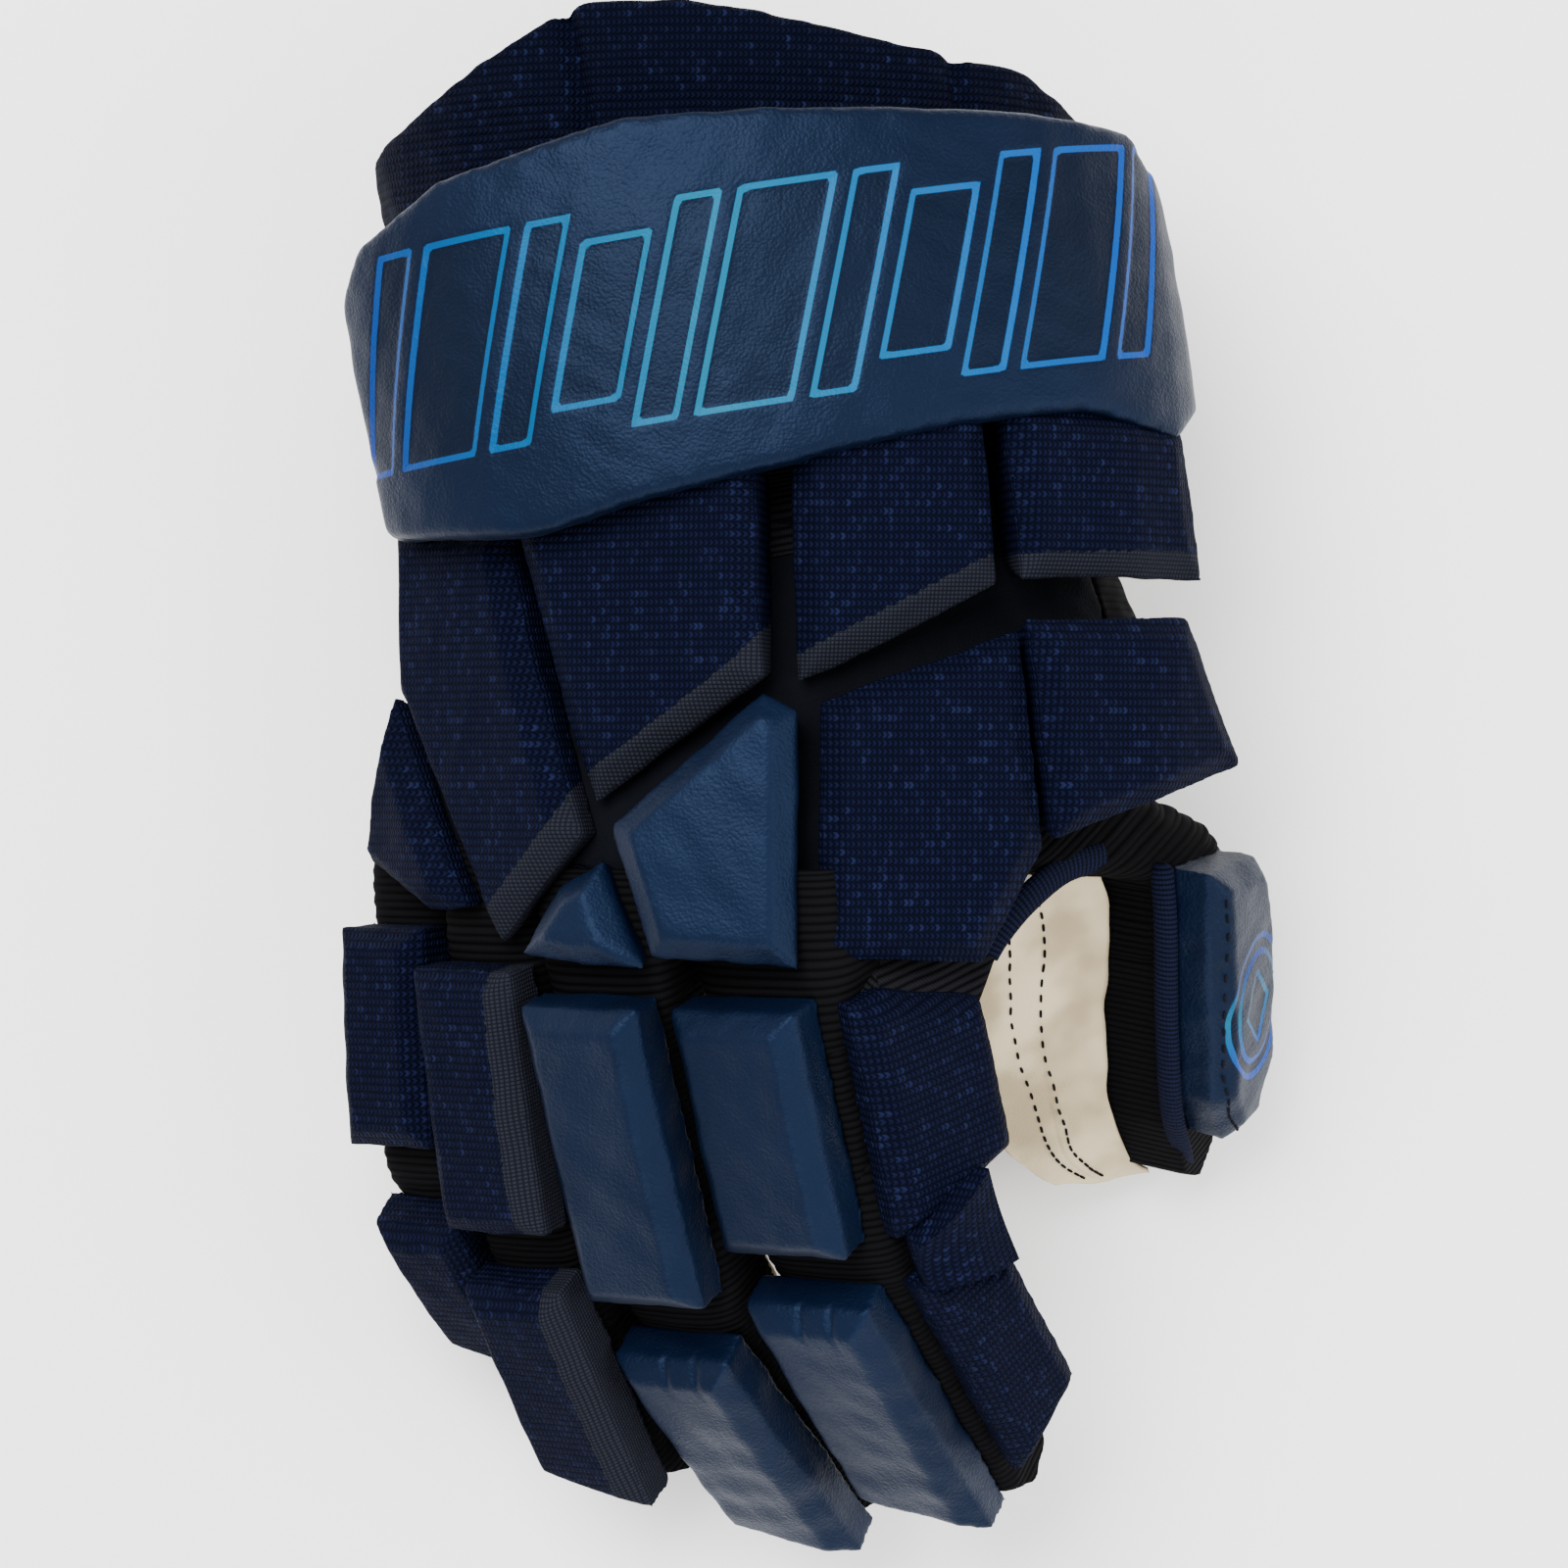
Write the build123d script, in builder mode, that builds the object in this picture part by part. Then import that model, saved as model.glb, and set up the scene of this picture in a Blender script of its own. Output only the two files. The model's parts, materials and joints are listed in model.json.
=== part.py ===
from build123d import *

# A right-hand ice hockey glove, lying palm down with its fingers half curled. Millimetres.
# X runs across the hand towards the thumb, Y from the fingertips to the cuff, Z out of the back.
#
# The hand is one tapering tube, the "form": its back is a shell that carries nine padded rolls,
# its underside is the suede palm, and a lining runs inside. Each finger is two hollow sleeves on
# two hinges, with a pad on the back of each. The four fingers are leant over together, so their
# hinges are parallel and they pass beside each other. The thumb has one hinge and the cuff tilts
# on the wrist. Every pad is a cover round a foam core, and most hold a stiff sheet as well.
import os
from math import cos, radians, sin, tan

# ---- driving dimensions -------------------------------------------------------------------
cover_wall = 1.4  # cloth or leather cover with its scrim
shell_wall = 2.2  # board and cloth the backhand pads are sewn to
palm_wall = 1.6  # suede palm
liner_wall = 1.2  # brushed lining
sleeve_wall = 1.8  # finger and thumb sleeves
sheet = 1.6  # stiff polyethylene sheet
sheet_depth = 5  # top of a pad down to its sheet
sheet_margin = 6  # edge of a pad in to the edge of its sheet
seat_gap = 0.4  # between a pad and what it is sewn to
layer_gap = 0.15  # between a core and its cover

roll_depth = 30  # how far a backhand pad's sides may reach down
roll_draft = 10  # each backhand pad narrows towards its seat, in degrees
roll_bevel = 5
finger_bevel = 4.5
seam_tilt = 12  # the seam between backhand and palm rises towards the thumb
seam_height = 62

finger_lean = 34  # the whole row of fingers leans over towards the little finger
sleeve_half = 10.5  # half the depth of a finger sleeve
finger_pad = 13.5  # thickness of a finger pad
joint_gap = 2.5  # hinge to the ends of the pads either side of it
tuck = 40  # how far the underside of each sleeve is cut back from the hinge, in degrees

cuff_turn = 10  # the cuff is set this many degrees round from square
cuff_floor = 3.6
band_wide = 93  # half the width of the cuff band
band_rise = 52
band_thick = 12
band_base = 76  # height of the edges of the band
extension_thick = 10
cuff_liner_wall = 2.4

# ---- axes ---------------------------------------------------------------------------------
across = Vector(cos(radians(finger_lean)), 0, sin(radians(finger_lean)))
back_flat = Vector(-sin(radians(finger_lean)), 0, cos(radians(finger_lean)))
ahead = Vector(0, -1, 0)

# ---- the form of the hand -----------------------------------------------------------------
# Sections across the hand: (x, z) points from the little-finger edge, under the palm, round the
# thumb side and back over the knuckles.
hand_sections = {
    66: [(-58, 56), (-44, 36), (2, 30), (46, 36), (60, 58), (50, 84), (4, 99), (-34, 91), (-54, 74)],
    20: [(-80, 46), (-56, 28), (0, 28), (54, 32), (80, 58), (62, 92), (8, 111), (-42, 97), (-72, 72)],
    -10: [(-86, 46), (-62, 32), (-14, 44), (34, 54), (64, 74), (50, 100), (0, 115), (-46, 98), (-75, 74)],
    -36: [(-89, 48), (-70, 40), (-25, 62), (22, 76), (47, 92), (32, 109), (-8, 114), (-44, 99), (-73, 77)],
}
knuckle_cut = Plane(origin=(-2.5, -25, 0), z_dir=(-12, -78.5, 0))
web_cut = Plane(origin=(52, -18, 0), z_dir=(20, -20, 0))
seam = Plane(origin=(0, 0, seam_height), z_dir=(-sin(radians(seam_tilt)), 0, cos(radians(seam_tilt))))


def grown(points, amount):
    """Section points moved outwards from their middle."""
    middle = Vector()
    for point in points:
        middle += Vector(*point) / len(points)
    moved = []
    for point in points:
        place = Vector(*point) + (Vector(*point) - middle).normalized() * amount
        moved.append((place.X, place.Y))
    return moved


def hand_form(growth, whole):
    """The solid inside the outside of the hand, grown. Whole, it runs on under the finger pads."""
    with BuildPart() as form:
        for y, points in hand_sections.items():
            with BuildSketch(Plane.XZ.offset(-y)):
                with BuildLine():
                    Spline(*grown(points, growth), periodic=True)
                make_face()
        loft()
        if whole:
            extrude(form.faces().sort_by(Axis.Y).first, amount=30)
        else:
            split(bisect_by=knuckle_cut, keep=Keep.BOTTOM)
            split(bisect_by=web_cut, keep=Keep.BOTTOM)
    return form.part


form_outside = hand_form(0, False)
form_seat = hand_form(seat_gap, True)
form_cover = hand_form(seat_gap + cover_wall, True)
form_core = hand_form(seat_gap + cover_wall + layer_gap, True)
pieces = {}

# ---- shell, palm and lining ---------------------------------------------------------------
with BuildPart() as backhand_shell:
    add(form_outside)
    add(hand_form(-shell_wall, False), mode=Mode.SUBTRACT)
    split(bisect_by=seam.offset(seat_gap / 2), keep=Keep.TOP)
pieces["backhand_shell"] = backhand_shell.part.solids().sort_by(SortBy.VOLUME).last

with BuildPart() as palm_panel:
    add(form_outside)
    add(hand_form(-palm_wall, False), mode=Mode.SUBTRACT)
    split(bisect_by=seam.offset(-seat_gap / 2), keep=Keep.BOTTOM)
pieces["palm_panel"] = palm_panel.part

with BuildPart() as hand_liner:
    add(hand_form(-shell_wall - layer_gap, False))
    add(hand_form(-shell_wall - layer_gap - liner_wall, False), mode=Mode.SUBTRACT)
pieces["hand_liner"] = hand_liner.part

# ---- backhand pads ------------------------------------------------------------------------
# Each pad: a point on its top face, the way that face leans (sideways, then forwards, in
# degrees), and its outline as it is seen from above.
rolls = {
    "pinky_edge_roll": ((-89, -8, 70), 54, 0, [(-93, 21), (-74, -28), (-83, -29), (-99, -18)]),
    "ring_roll": ((-70, 8, 90), 42, 0, [(-91, 53), (-64, 51), (-47, -11), (-66, -36), (-90, 21)]),
    "middle_roll": ((-31, 26, 115), 22, 0, [(-61, 51), (-8, 65), (-6, 23), (-43, -5)]),
    "ring_knuckle_pad": ((-46, -28, 110), 30, 0, [(-61, -38), (-52, -22), (-42, -16), (-33, -40)]),
    "middle_knuckle_pad": ((-15, -12, 125), 14, 0, [(-6, 20), (2, 16), (2, -40), (-30, -38), (-39, -9)]),
    "index_roll_upper": ((25, 48, 120), -4, 3, [(1, 68), (43, 76), (47, 39), (3, 21)]),
    "index_roll_lower": ((30, 0, 123), -8, 0, [(8, 18), (52, 34), (57, -14), (44, -39), (8, -38)]),
    "thumb_roll_upper": ((64, 56, 112), -22, 0, [(48, 77), (90, 71), (95, 41), (53, 40)]),
    "thumb_roll_lower": ((72, 14, 113), -24, 0, [(54, 36), (91, 37), (104, 4), (60, -13)]),
}
rolls_with_sheet = [
    "ring_roll",
    "middle_roll",
    "middle_knuckle_pad",
    "index_roll_upper",
    "index_roll_lower",
    "thumb_roll_lower",
]


def leaning(point, sideways, forwards):
    """The plane of a pad's top face."""
    lean = Vector(-sin(radians(sideways)), -sin(radians(forwards)), cos(radians(sideways)))
    return Plane(origin=point, x_dir=(lean.Z, 0, -lean.X), z_dir=lean)


def dropped(outline, plane):
    """An outline seen from above, put on a plane and given in the plane's own coordinates."""
    placed = []
    for x, y in outline:
        rise = (plane.z_dir.X * (x - plane.origin.X) + plane.z_dir.Y * (y - plane.origin.Y)) / plane.z_dir.Z
        local = plane.to_local_coords(Vector(x, y, plane.origin.Z - rise))
        placed.append((local.X, local.Y))
    return placed


def block(top, outline, depth, draft, bevel, inset, under):
    """A bevelled, drafted block hanging from an outline on a plane, less what it is seated on."""
    levels = [(inset, inset + bevel), (inset + bevel, inset), (depth, inset + depth * tan(radians(draft)))]
    with BuildPart() as solid:
        for upper, lower in zip(levels, levels[1:]):
            for lowered, narrowing in (upper, lower):
                with BuildSketch(top.offset(-lowered)):
                    with BuildLine():
                        Polyline(*outline, close=True)
                    make_face()
                    offset(amount=-narrowing, kind=Kind.INTERSECTION)
            loft(ruled=True)
        if under is not None:
            add(under, mode=Mode.SUBTRACT)
    return solid.part.solids().sort_by(SortBy.VOLUME).last


def sheet_in(top, outline, core, clearance):
    """The stiff sheet inside a core, grown by a clearance."""
    with BuildPart() as plate:
        with BuildSketch(top.offset(clearance - sheet_depth)):
            with BuildLine():
                Polyline(*outline, close=True)
            make_face()
            offset(amount=clearance - sheet_margin, kind=Kind.INTERSECTION)
        extrude(amount=-sheet - 2 * clearance)
    return plate.part.intersect(core).solids().sort_by(SortBy.VOLUME).last


def finger_block(top, outline, thick, inset):
    """A finger pad with straight sides and a flat seat; inset, the room inside its cover."""
    return block(top, outline, thick - inset, 0, finger_bevel, inset, None)


foam_cores = []
stiff_sheets = []
skin = cover_wall + layer_gap
for name, (point, sideways, forwards, outline) in rolls.items():
    top = leaning(point, sideways, forwards)
    flat = dropped(outline, top)
    outer = block(top, flat, roll_depth, roll_draft, roll_bevel, 0, form_seat)
    hollow = block(top, flat, roll_depth, roll_draft, roll_bevel, cover_wall, form_cover)
    core = block(top, flat, roll_depth, roll_draft, roll_bevel, skin, form_core)
    if name in rolls_with_sheet:
        stiff_sheets.append(sheet_in(top, flat, core, 0))
        core = core - sheet_in(top, flat, core, layer_gap)
    pieces[name] = outer - hollow
    foam_cores.append(core)
pieces["backhand_foam_cores"] = Compound(foam_cores)
pieces["backhand_sheets"] = Compound(stiff_sheets)

# bindings round the knuckle opening and the thumb opening of the hand
for name, cut in (("knuckle_binding", knuckle_cut), ("web_binding", web_cut)):
    other = web_cut if cut is knuckle_cut else knuckle_cut
    with BuildPart() as binding:
        add(hand_form(0.3, True))
        add(hand_form(-4, True), mode=Mode.SUBTRACT)
        split(bisect_by=cut.offset(seat_gap), keep=Keep.TOP)
        split(bisect_by=cut.offset(seat_gap + 3), keep=Keep.BOTTOM)
        split(bisect_by=other.offset(-1 if cut is knuckle_cut else -6), keep=Keep.BOTTOM)
    pieces[name] = binding.part.solids().sort_by(SortBy.VOLUME).last

# ---- fingers ------------------------------------------------------------------------------
# Knuckle: across the row, out of its back, and along Y. Then the bend of each part at rest, the
# length of each part, how far the sleeve reaches towards the little finger and the thumb, and
# half the width of the pads.
fingers = {
    "index": ((56.7, 87, -38), (20.8, 44), (66, 78), (-12.5, 18.5), 16.5),
    "middle": ((21.1, 95, -38), (20.8, 48), (80, 76), (-12.5, 12.5), 16),
    "ring": ((-11.6, 93, -33), (12, 34), (69, 66), (-12, 12), 14.2),
    "pinky": ((-39.6, 85.5, -27), (4, 44), (58, 53), (-11, 11), 12.4),
}
side_pad_lean = 25
side_pad = 9.5
finger_tuck = {"index": 29, "middle": tuck, "ring": tuck, "pinky": tuck}


def part_of_finger(origin, bend):
    """Planes for one finger part: its back (thumb side to -X, along it Y) and its side view."""
    along = ahead * cos(radians(bend)) - back_flat * sin(radians(bend))
    back = back_flat * cos(radians(bend)) + ahead * sin(radians(bend))
    return Plane(origin=origin, x_dir=-across, z_dir=back), Plane(origin=origin, x_dir=along, z_dir=-across)


def swept(side, outline, low, high):
    """A side view carried across a finger, from the little-finger side to the thumb side."""
    with BuildPart() as solid:
        with BuildSketch(side.offset(-high)):
            with BuildLine():
                Polyline(*outline, close=True)
            make_face()
        extrude(amount=high - low)
    return solid.part


def sleeve(side, outside, inside, low, high, soften):
    """A hollow sleeve; soften rounds its long edges."""
    solid = swept(side, outside, low, high)
    with BuildPart() as tube:
        add(solid)
        lengthwise = [edge for edge in tube.edges() if abs(edge.tangent_at(0.5).dot(side.x_dir)) > 0.9]
        long_edges = [edge for edge in lengthwise if edge.length > 20]
        fillet(long_edges, soften)
        add(swept(side, inside, low + sleeve_wall, high - sleeve_wall), mode=Mode.SUBTRACT)
    return tube.part


def add_pad(name, top, outline, thick, with_sheet):
    """Cover, core and sheet of a finger or thumb pad."""
    core = finger_block(top, outline, thick, skin)
    if with_sheet:
        pieces[name + "_sheet"] = sheet_in(top, outline, core, 0)
        core = core - sheet_in(top, outline, core, layer_gap)
    cover = finger_block(top, outline, thick, 0)
    pieces[name + "_pad"] = cover - finger_block(top, outline, thick, cover_wall)
    pieces[name + "_foam"] = core


room = sleeve_half - sleeve_wall
seat = sleeve_half + seat_gap
for finger, (place, bends, lengths, reach, half_width) in fingers.items():
    low, high = reach
    back_cut = (sleeve_half - 1) * tan(radians(finger_tuck[finger]))
    first, last = lengths
    knuckle = across * place[0] + back_flat * place[1] + Vector(0, place[2], 0)
    dorsal, side = part_of_finger(knuckle, bends[0])
    outside = [
        (joint_gap, sleeve_half),
        (first - joint_gap, sleeve_half),
        (first - joint_gap, -1),
        (first - joint_gap - back_cut, -sleeve_half),
        (joint_gap, -sleeve_half),
    ]
    inside = [(-9, room), (first + 9, room), (first + 9, -room), (-9, -room)]
    pieces[finger + "_proximal_sleeve"] = sleeve(side, outside, inside, low, high, 4)
    outline = [(-half_width, 4), (half_width, 4), (half_width, first - 3), (-half_width, first - 3)]
    add_pad(finger + "_proximal", dorsal.offset(seat + finger_pad), outline, finger_pad, True)
    middle_joint = knuckle + side.x_dir * first
    print(finger, "knuckle", knuckle, "middle joint", middle_joint)
    far_dorsal, far_side = part_of_finger(middle_joint, bends[1])
    outside = [
        (joint_gap, sleeve_half),
        (last, sleeve_half),
        (last + 6, 2),
        (last + 3, -7),
        (last - 5, -sleeve_half),
        (joint_gap + back_cut, -sleeve_half),
        (joint_gap, -1),
    ]
    inside = [(-9, room), (last - 1, room), (last + 3, 2), (last + 1, -6), (last - 6, -room), (-9, -room)]
    pieces[finger + "_distal_sleeve"] = sleeve(far_side, outside, inside, low, high, 4)
    outline = [(-half_width, 3), (half_width, 3), (half_width, last - 8), (-half_width, last + 2)]
    add_pad(finger + "_distal", far_dorsal.offset(seat + finger_pad), outline, finger_pad, False)
    if finger == "index":
        for part, plane_side, plane_back, points in (
            (
                "index_side_proximal",
                side,
                dorsal,
                [(6, 10), (first - 4, 10), (first - 4, 2), (first - 14, -24), (16, -24), (6, 0)],
            ),
            (
                "index_side_distal",
                far_side,
                far_dorsal,
                [(4, 10), (last - 8, 10), (last - 20, -14), (15, -14), (4, 2)],
            ),
        ):
            lean = across * cos(radians(side_pad_lean)) + plane_back.z_dir * sin(radians(side_pad_lean))
            start = plane_side.origin + across * (high + 4.6) + lean * side_pad
            top = Plane(origin=start, x_dir=-plane_side.x_dir, z_dir=lean)
            add_pad(part, top, [(-s, t) for s, t in points], side_pad, False)

# ---- thumb --------------------------------------------------------------------------------
thumb_root = Vector(83, -14, 55.7)
thumb_ahead = Vector(0.06, -0.88, -0.47).normalized()
thumb_out = Vector(0.83, 0, 0.5)
thumb_out = (thumb_out - thumb_ahead * thumb_out.dot(thumb_ahead)).normalized()
thumb_length = 88
thumb_half = 12.5
thumb_side = Plane(origin=thumb_root, x_dir=thumb_ahead, z_dir=thumb_out)
outside = [(4, -12), (4, 12), (22, 15), (66, 14), (82, 9), (88, 0), (82, -9), (66, -14), (22, -15)]
inside = [(0, -10), (0, 10), (22, 13), (65, 12), (80, 7.5), (86, 0), (80, -7.5), (65, -12), (22, -13)]
pieces["thumb_sleeve"] = sleeve(thumb_side, outside, inside, -thumb_half, thumb_half, 3)
outline = [(-5, -15), (4, 12), (20, 16), (58, 15), (72, 5), (70, -9), (56, -16), (12, -17)]
add_pad("thumb", thumb_side.offset(thumb_half + seat_gap + finger_pad), outline, finger_pad, True)
palm_outline = [(6, -13), (6, 13), (22, 16), (66, 15), (84, 8), (90, 0), (84, -8), (66, -15), (22, -16)]
with BuildPart() as thumb_palm:
    with BuildSketch(thumb_side.offset(-thumb_half - seat_gap)):
        with BuildLine():
            Polyline(*palm_outline, close=True)
        make_face()
    extrude(amount=-2)
pieces["thumb_palm"] = thumb_palm.part
print("thumb", thumb_root, thumb_ahead, thumb_out, thumb_side.y_dir)

# ---- cuff ---------------------------------------------------------------------------------
cuff_across = Vector(cos(radians(cuff_turn)), sin(radians(cuff_turn)), 0)
cuff_back = Vector(-sin(radians(cuff_turn)), cos(radians(cuff_turn)), 0)
cuff_root = Vector(0, 74, 0)
cuff_plan = Plane(origin=cuff_root, x_dir=cuff_across, z_dir=(0, 0, 1))
band_outline = [
    (-90, -2), (-55, -8), (-23, -7), (33, -3), (65, -4), (86, -13), (93, -6), (92, 46),
    (86, 56), (63, 62), (12, 70), (-22, 74), (-64, 69), (-84, 60), (-90, 50),
]
extension_outline = [
    (-85, 26), (-85, 80), (-60, 92), (-30, 103), (-5, 98), (37, 84), (68, 74), (80, 62), (84, 26),
]


def arch(outline, base, wide, rise, thick, inset, edge):
    """An arched slab over the wrist; its faces are moved in by inset, its outline by edge."""
    with BuildPart() as slab:
        with BuildSketch(Plane(origin=cuff_root + Vector(0, 0, base), x_dir=cuff_across, z_dir=-cuff_back)):
            Ellipse(wide - inset, rise - inset)
            Ellipse(wide - thick + inset, rise - thick + inset, mode=Mode.SUBTRACT)
            with Locations((0, inset - 100)):
                Rectangle(400, 200, mode=Mode.SUBTRACT)
        extrude(amount=150, both=True)
        with BuildSketch(cuff_plan):
            with BuildLine():
                Polyline(*outline, close=True)
            make_face()
            offset(amount=-edge, kind=Kind.INTERSECTION)
        extrude(amount=200, mode=Mode.INTERSECT)
    return slab.part.solids().sort_by(SortBy.VOLUME).last


def arched_pad(name, outline, base, wide, rise, thick):
    """Cover and core of an arched slab."""
    outer = arch(outline, base, wide, rise, thick, 0, 0)
    pieces[name] = outer - arch(outline, base, wide, rise, thick, cover_wall, cover_wall)
    pieces[name + "_foam"] = arch(outline, base, wide, rise, thick, skin, skin)


def board_in_band(clearance):
    """The stiff board near the underside of the band's core, grown by a clearance."""
    depth = band_thick - skin - 1 - sheet - clearance
    base = band_base + 6 - clearance
    thick = sheet + 2 * clearance
    return arch(band_outline, base, band_wide - depth, band_rise - depth, thick, 0, 6 - clearance)


arched_pad("cuff_band", band_outline, band_base, band_wide, band_rise, band_thick)
pieces["cuff_board"] = board_in_band(0)
pieces["cuff_band_foam"] = pieces["cuff_band_foam"] - board_in_band(layer_gap)
arched_pad("cuff_extension", extension_outline, 60, 81, 54, extension_thick)
for name, start, length, thick in (("cuff_liner", 4, 60, cuff_liner_wall), ("cuff_binding", 64.3, 4, 4)):
    centre = cuff_root + cuff_back * start + Vector(0, 0, cuff_floor + 44)
    with BuildPart() as ring:
        with BuildSketch(Plane(origin=centre, x_dir=cuff_across, z_dir=-cuff_back)):
            RectangleRounded(140, 88, 40)
            RectangleRounded(140 - 2 * thick, 88 - 2 * thick, 40 - thick, mode=Mode.SUBTRACT)
        extrude(amount=-length)
    pieces[name] = ring.part

# ---- hand in ------------------------------------------------------------------------------
whole = Compound([part for part in pieces.values()]).bounding_box()
middle = whole.center()
shift = Vector(-middle.X, -middle.Y, -whole.min.Z)
print("shift", shift, "size", whole.size)
os.makedirs("parts", exist_ok=True)
for name, part in pieces.items():
    placed = part.moved(Location(shift))
    placed.label = name
    print(name, part.is_valid, round(part.volume), len(part.solids()))
    export_step(placed, "parts/" + name + ".step")
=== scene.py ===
import json
from math import cos, pi, radians, sin

import bmesh
import bpy
import numpy as np
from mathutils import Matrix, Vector
from mathutils.bvhtree import BVHTree


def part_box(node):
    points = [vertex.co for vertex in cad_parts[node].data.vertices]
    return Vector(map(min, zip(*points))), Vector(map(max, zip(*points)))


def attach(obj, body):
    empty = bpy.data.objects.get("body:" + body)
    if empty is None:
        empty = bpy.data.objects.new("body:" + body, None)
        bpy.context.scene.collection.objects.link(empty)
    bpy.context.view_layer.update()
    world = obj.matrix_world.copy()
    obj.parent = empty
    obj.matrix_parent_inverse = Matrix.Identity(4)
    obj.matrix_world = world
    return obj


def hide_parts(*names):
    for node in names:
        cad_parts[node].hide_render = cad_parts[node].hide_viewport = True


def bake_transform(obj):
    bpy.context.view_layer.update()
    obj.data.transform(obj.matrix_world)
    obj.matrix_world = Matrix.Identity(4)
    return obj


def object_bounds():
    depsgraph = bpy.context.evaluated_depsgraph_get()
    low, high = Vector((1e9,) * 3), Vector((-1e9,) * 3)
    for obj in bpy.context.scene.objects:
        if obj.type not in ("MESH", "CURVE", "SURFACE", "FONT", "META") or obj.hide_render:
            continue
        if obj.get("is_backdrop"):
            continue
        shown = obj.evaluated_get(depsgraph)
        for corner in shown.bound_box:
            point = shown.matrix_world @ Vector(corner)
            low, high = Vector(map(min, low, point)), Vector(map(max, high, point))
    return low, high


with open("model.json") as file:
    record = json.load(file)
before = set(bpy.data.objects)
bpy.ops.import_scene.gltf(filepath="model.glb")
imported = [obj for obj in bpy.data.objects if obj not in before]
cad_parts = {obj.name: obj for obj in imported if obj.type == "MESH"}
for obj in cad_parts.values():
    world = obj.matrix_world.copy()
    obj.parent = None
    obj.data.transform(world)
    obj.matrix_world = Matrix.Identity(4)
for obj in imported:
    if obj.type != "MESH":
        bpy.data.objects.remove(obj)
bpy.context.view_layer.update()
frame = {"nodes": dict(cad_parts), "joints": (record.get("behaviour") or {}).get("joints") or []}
MM = 0.001


# ---- shader building ------------------------------------------------------------------------
class Socket:
    """One output of a node. Arithmetic on it adds math nodes."""

    def __init__(self, tree, out):
        self.tree = tree
        self.out = out

    def math(self, operation, *others):
        node = self.tree.nodes.new("ShaderNodeMath")
        node.operation = operation
        for i, value in enumerate((self, *others)):
            if isinstance(value, Socket):
                self.tree.links.new(value.out, node.inputs[i])
            else:
                node.inputs[i].default_value = value
        return Socket(self.tree, node.outputs[0])

    def __add__(self, other):
        return self.math("ADD", other)

    def __sub__(self, other):
        return self.math("SUBTRACT", other)

    def __mul__(self, other):
        return self.math("MULTIPLY", other)

    def __truediv__(self, other):
        return self.math("DIVIDE", other)

    def step(self, low, high):
        """0 below low and 1 above high, or the reverse if low is the larger."""
        node = self.tree.nodes.new("ShaderNodeMapRange")
        node.interpolation_type = "SMOOTHSTEP"
        self.tree.links.new(self.out, node.inputs["Value"])
        if low < high:
            node.inputs["From Min"].default_value = low
            node.inputs["From Max"].default_value = high
        else:
            node.inputs["From Min"].default_value = high
            node.inputs["From Max"].default_value = low
            node.inputs["To Min"].default_value = 1
            node.inputs["To Max"].default_value = 0
        return Socket(self.tree, node.outputs[0])


class Finish:
    """A material under construction, with one principled shader."""

    def __init__(self, name):
        self.material = bpy.data.materials.new(name)
        self.material.use_nodes = True
        self.tree = self.material.node_tree
        self.tree.nodes.clear()
        self.output = self.node("ShaderNodeOutputMaterial")
        self.shader = self.node("ShaderNodeBsdfPrincipled")
        self.link(self.shader.outputs[0], self.output.inputs["Surface"])

    def node(self, kind, **settings):
        made = self.tree.nodes.new(kind)
        for key, value in settings.items():
            setattr(made, key, value)
        return made

    def link(self, out, into):
        self.tree.links.new(out.out if isinstance(out, Socket) else out, into)

    def texture(self, kind, where, scale, output=0, **settings):
        made = self.node(kind, **settings)
        if "Scale" in made.inputs:
            made.inputs["Scale"].default_value = scale
        if where is not None:
            self.link(where, made.inputs["Vector"])
        return Socket(self.tree, made.outputs[output])

    def place(self):
        """The place in the object, in metres."""
        return self.node("ShaderNodeTexCoord").outputs["Object"]

    def attribute(self, name):
        return Socket(self.tree, self.node("ShaderNodeAttribute", attribute_name=name).outputs["Fac"])

    def weave(self):
        """The place on the cloth: across and along it, in metres."""
        made = self.node("ShaderNodeUVMap", uv_map="weave")
        split = self.node("ShaderNodeSeparateXYZ")
        self.link(made.outputs[0], split.inputs[0])
        return Socket(self.tree, split.outputs[0]), Socket(self.tree, split.outputs[1])

    def pair(self, a, b):
        made = self.node("ShaderNodeCombineXYZ")
        self.link(a, made.inputs[0])
        self.link(b, made.inputs[1])
        return made.outputs[0]

    def mix(self, amount, low, high):
        """A colour between low and high; each is a colour or an output."""
        made = self.node("ShaderNodeMix", data_type="RGBA")
        self.link(amount, made.inputs["Factor"])
        for value, socket in ((low, made.inputs[6]), (high, made.inputs[7])):
            if isinstance(value, tuple):
                socket.default_value = (*value, 1)
            else:
                self.link(value, socket)
        return made.outputs[2]

    def colour(self, value):
        if isinstance(value, tuple):
            self.shader.inputs["Base Color"].default_value = (*value, 1)
        else:
            self.link(value, self.shader.inputs["Base Color"])

    def sheen(self, level, tint=None):
        self.shader.inputs["Specular IOR Level"].default_value = level
        if tint is not None:
            self.shader.inputs["Specular Tint"].default_value = tint

    def rough(self, value):
        if isinstance(value, Socket):
            self.link(value, self.shader.inputs["Roughness"])
        else:
            self.shader.inputs["Roughness"].default_value = value

    def bump(self, height, distance, strength=1.0):
        made = self.node("ShaderNodeBump")
        made.inputs["Distance"].default_value = distance
        made.inputs["Strength"].default_value = strength
        self.link(height, made.inputs["Height"])
        self.link(made.outputs[0], self.shader.inputs["Normal"])


def wear(finish, scale=18.0):
    """Slow patchy variation from 0 to 1."""
    return finish.texture("ShaderNodeTexNoise", finish.place(), scale, noise_dimensions="3D")


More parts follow.
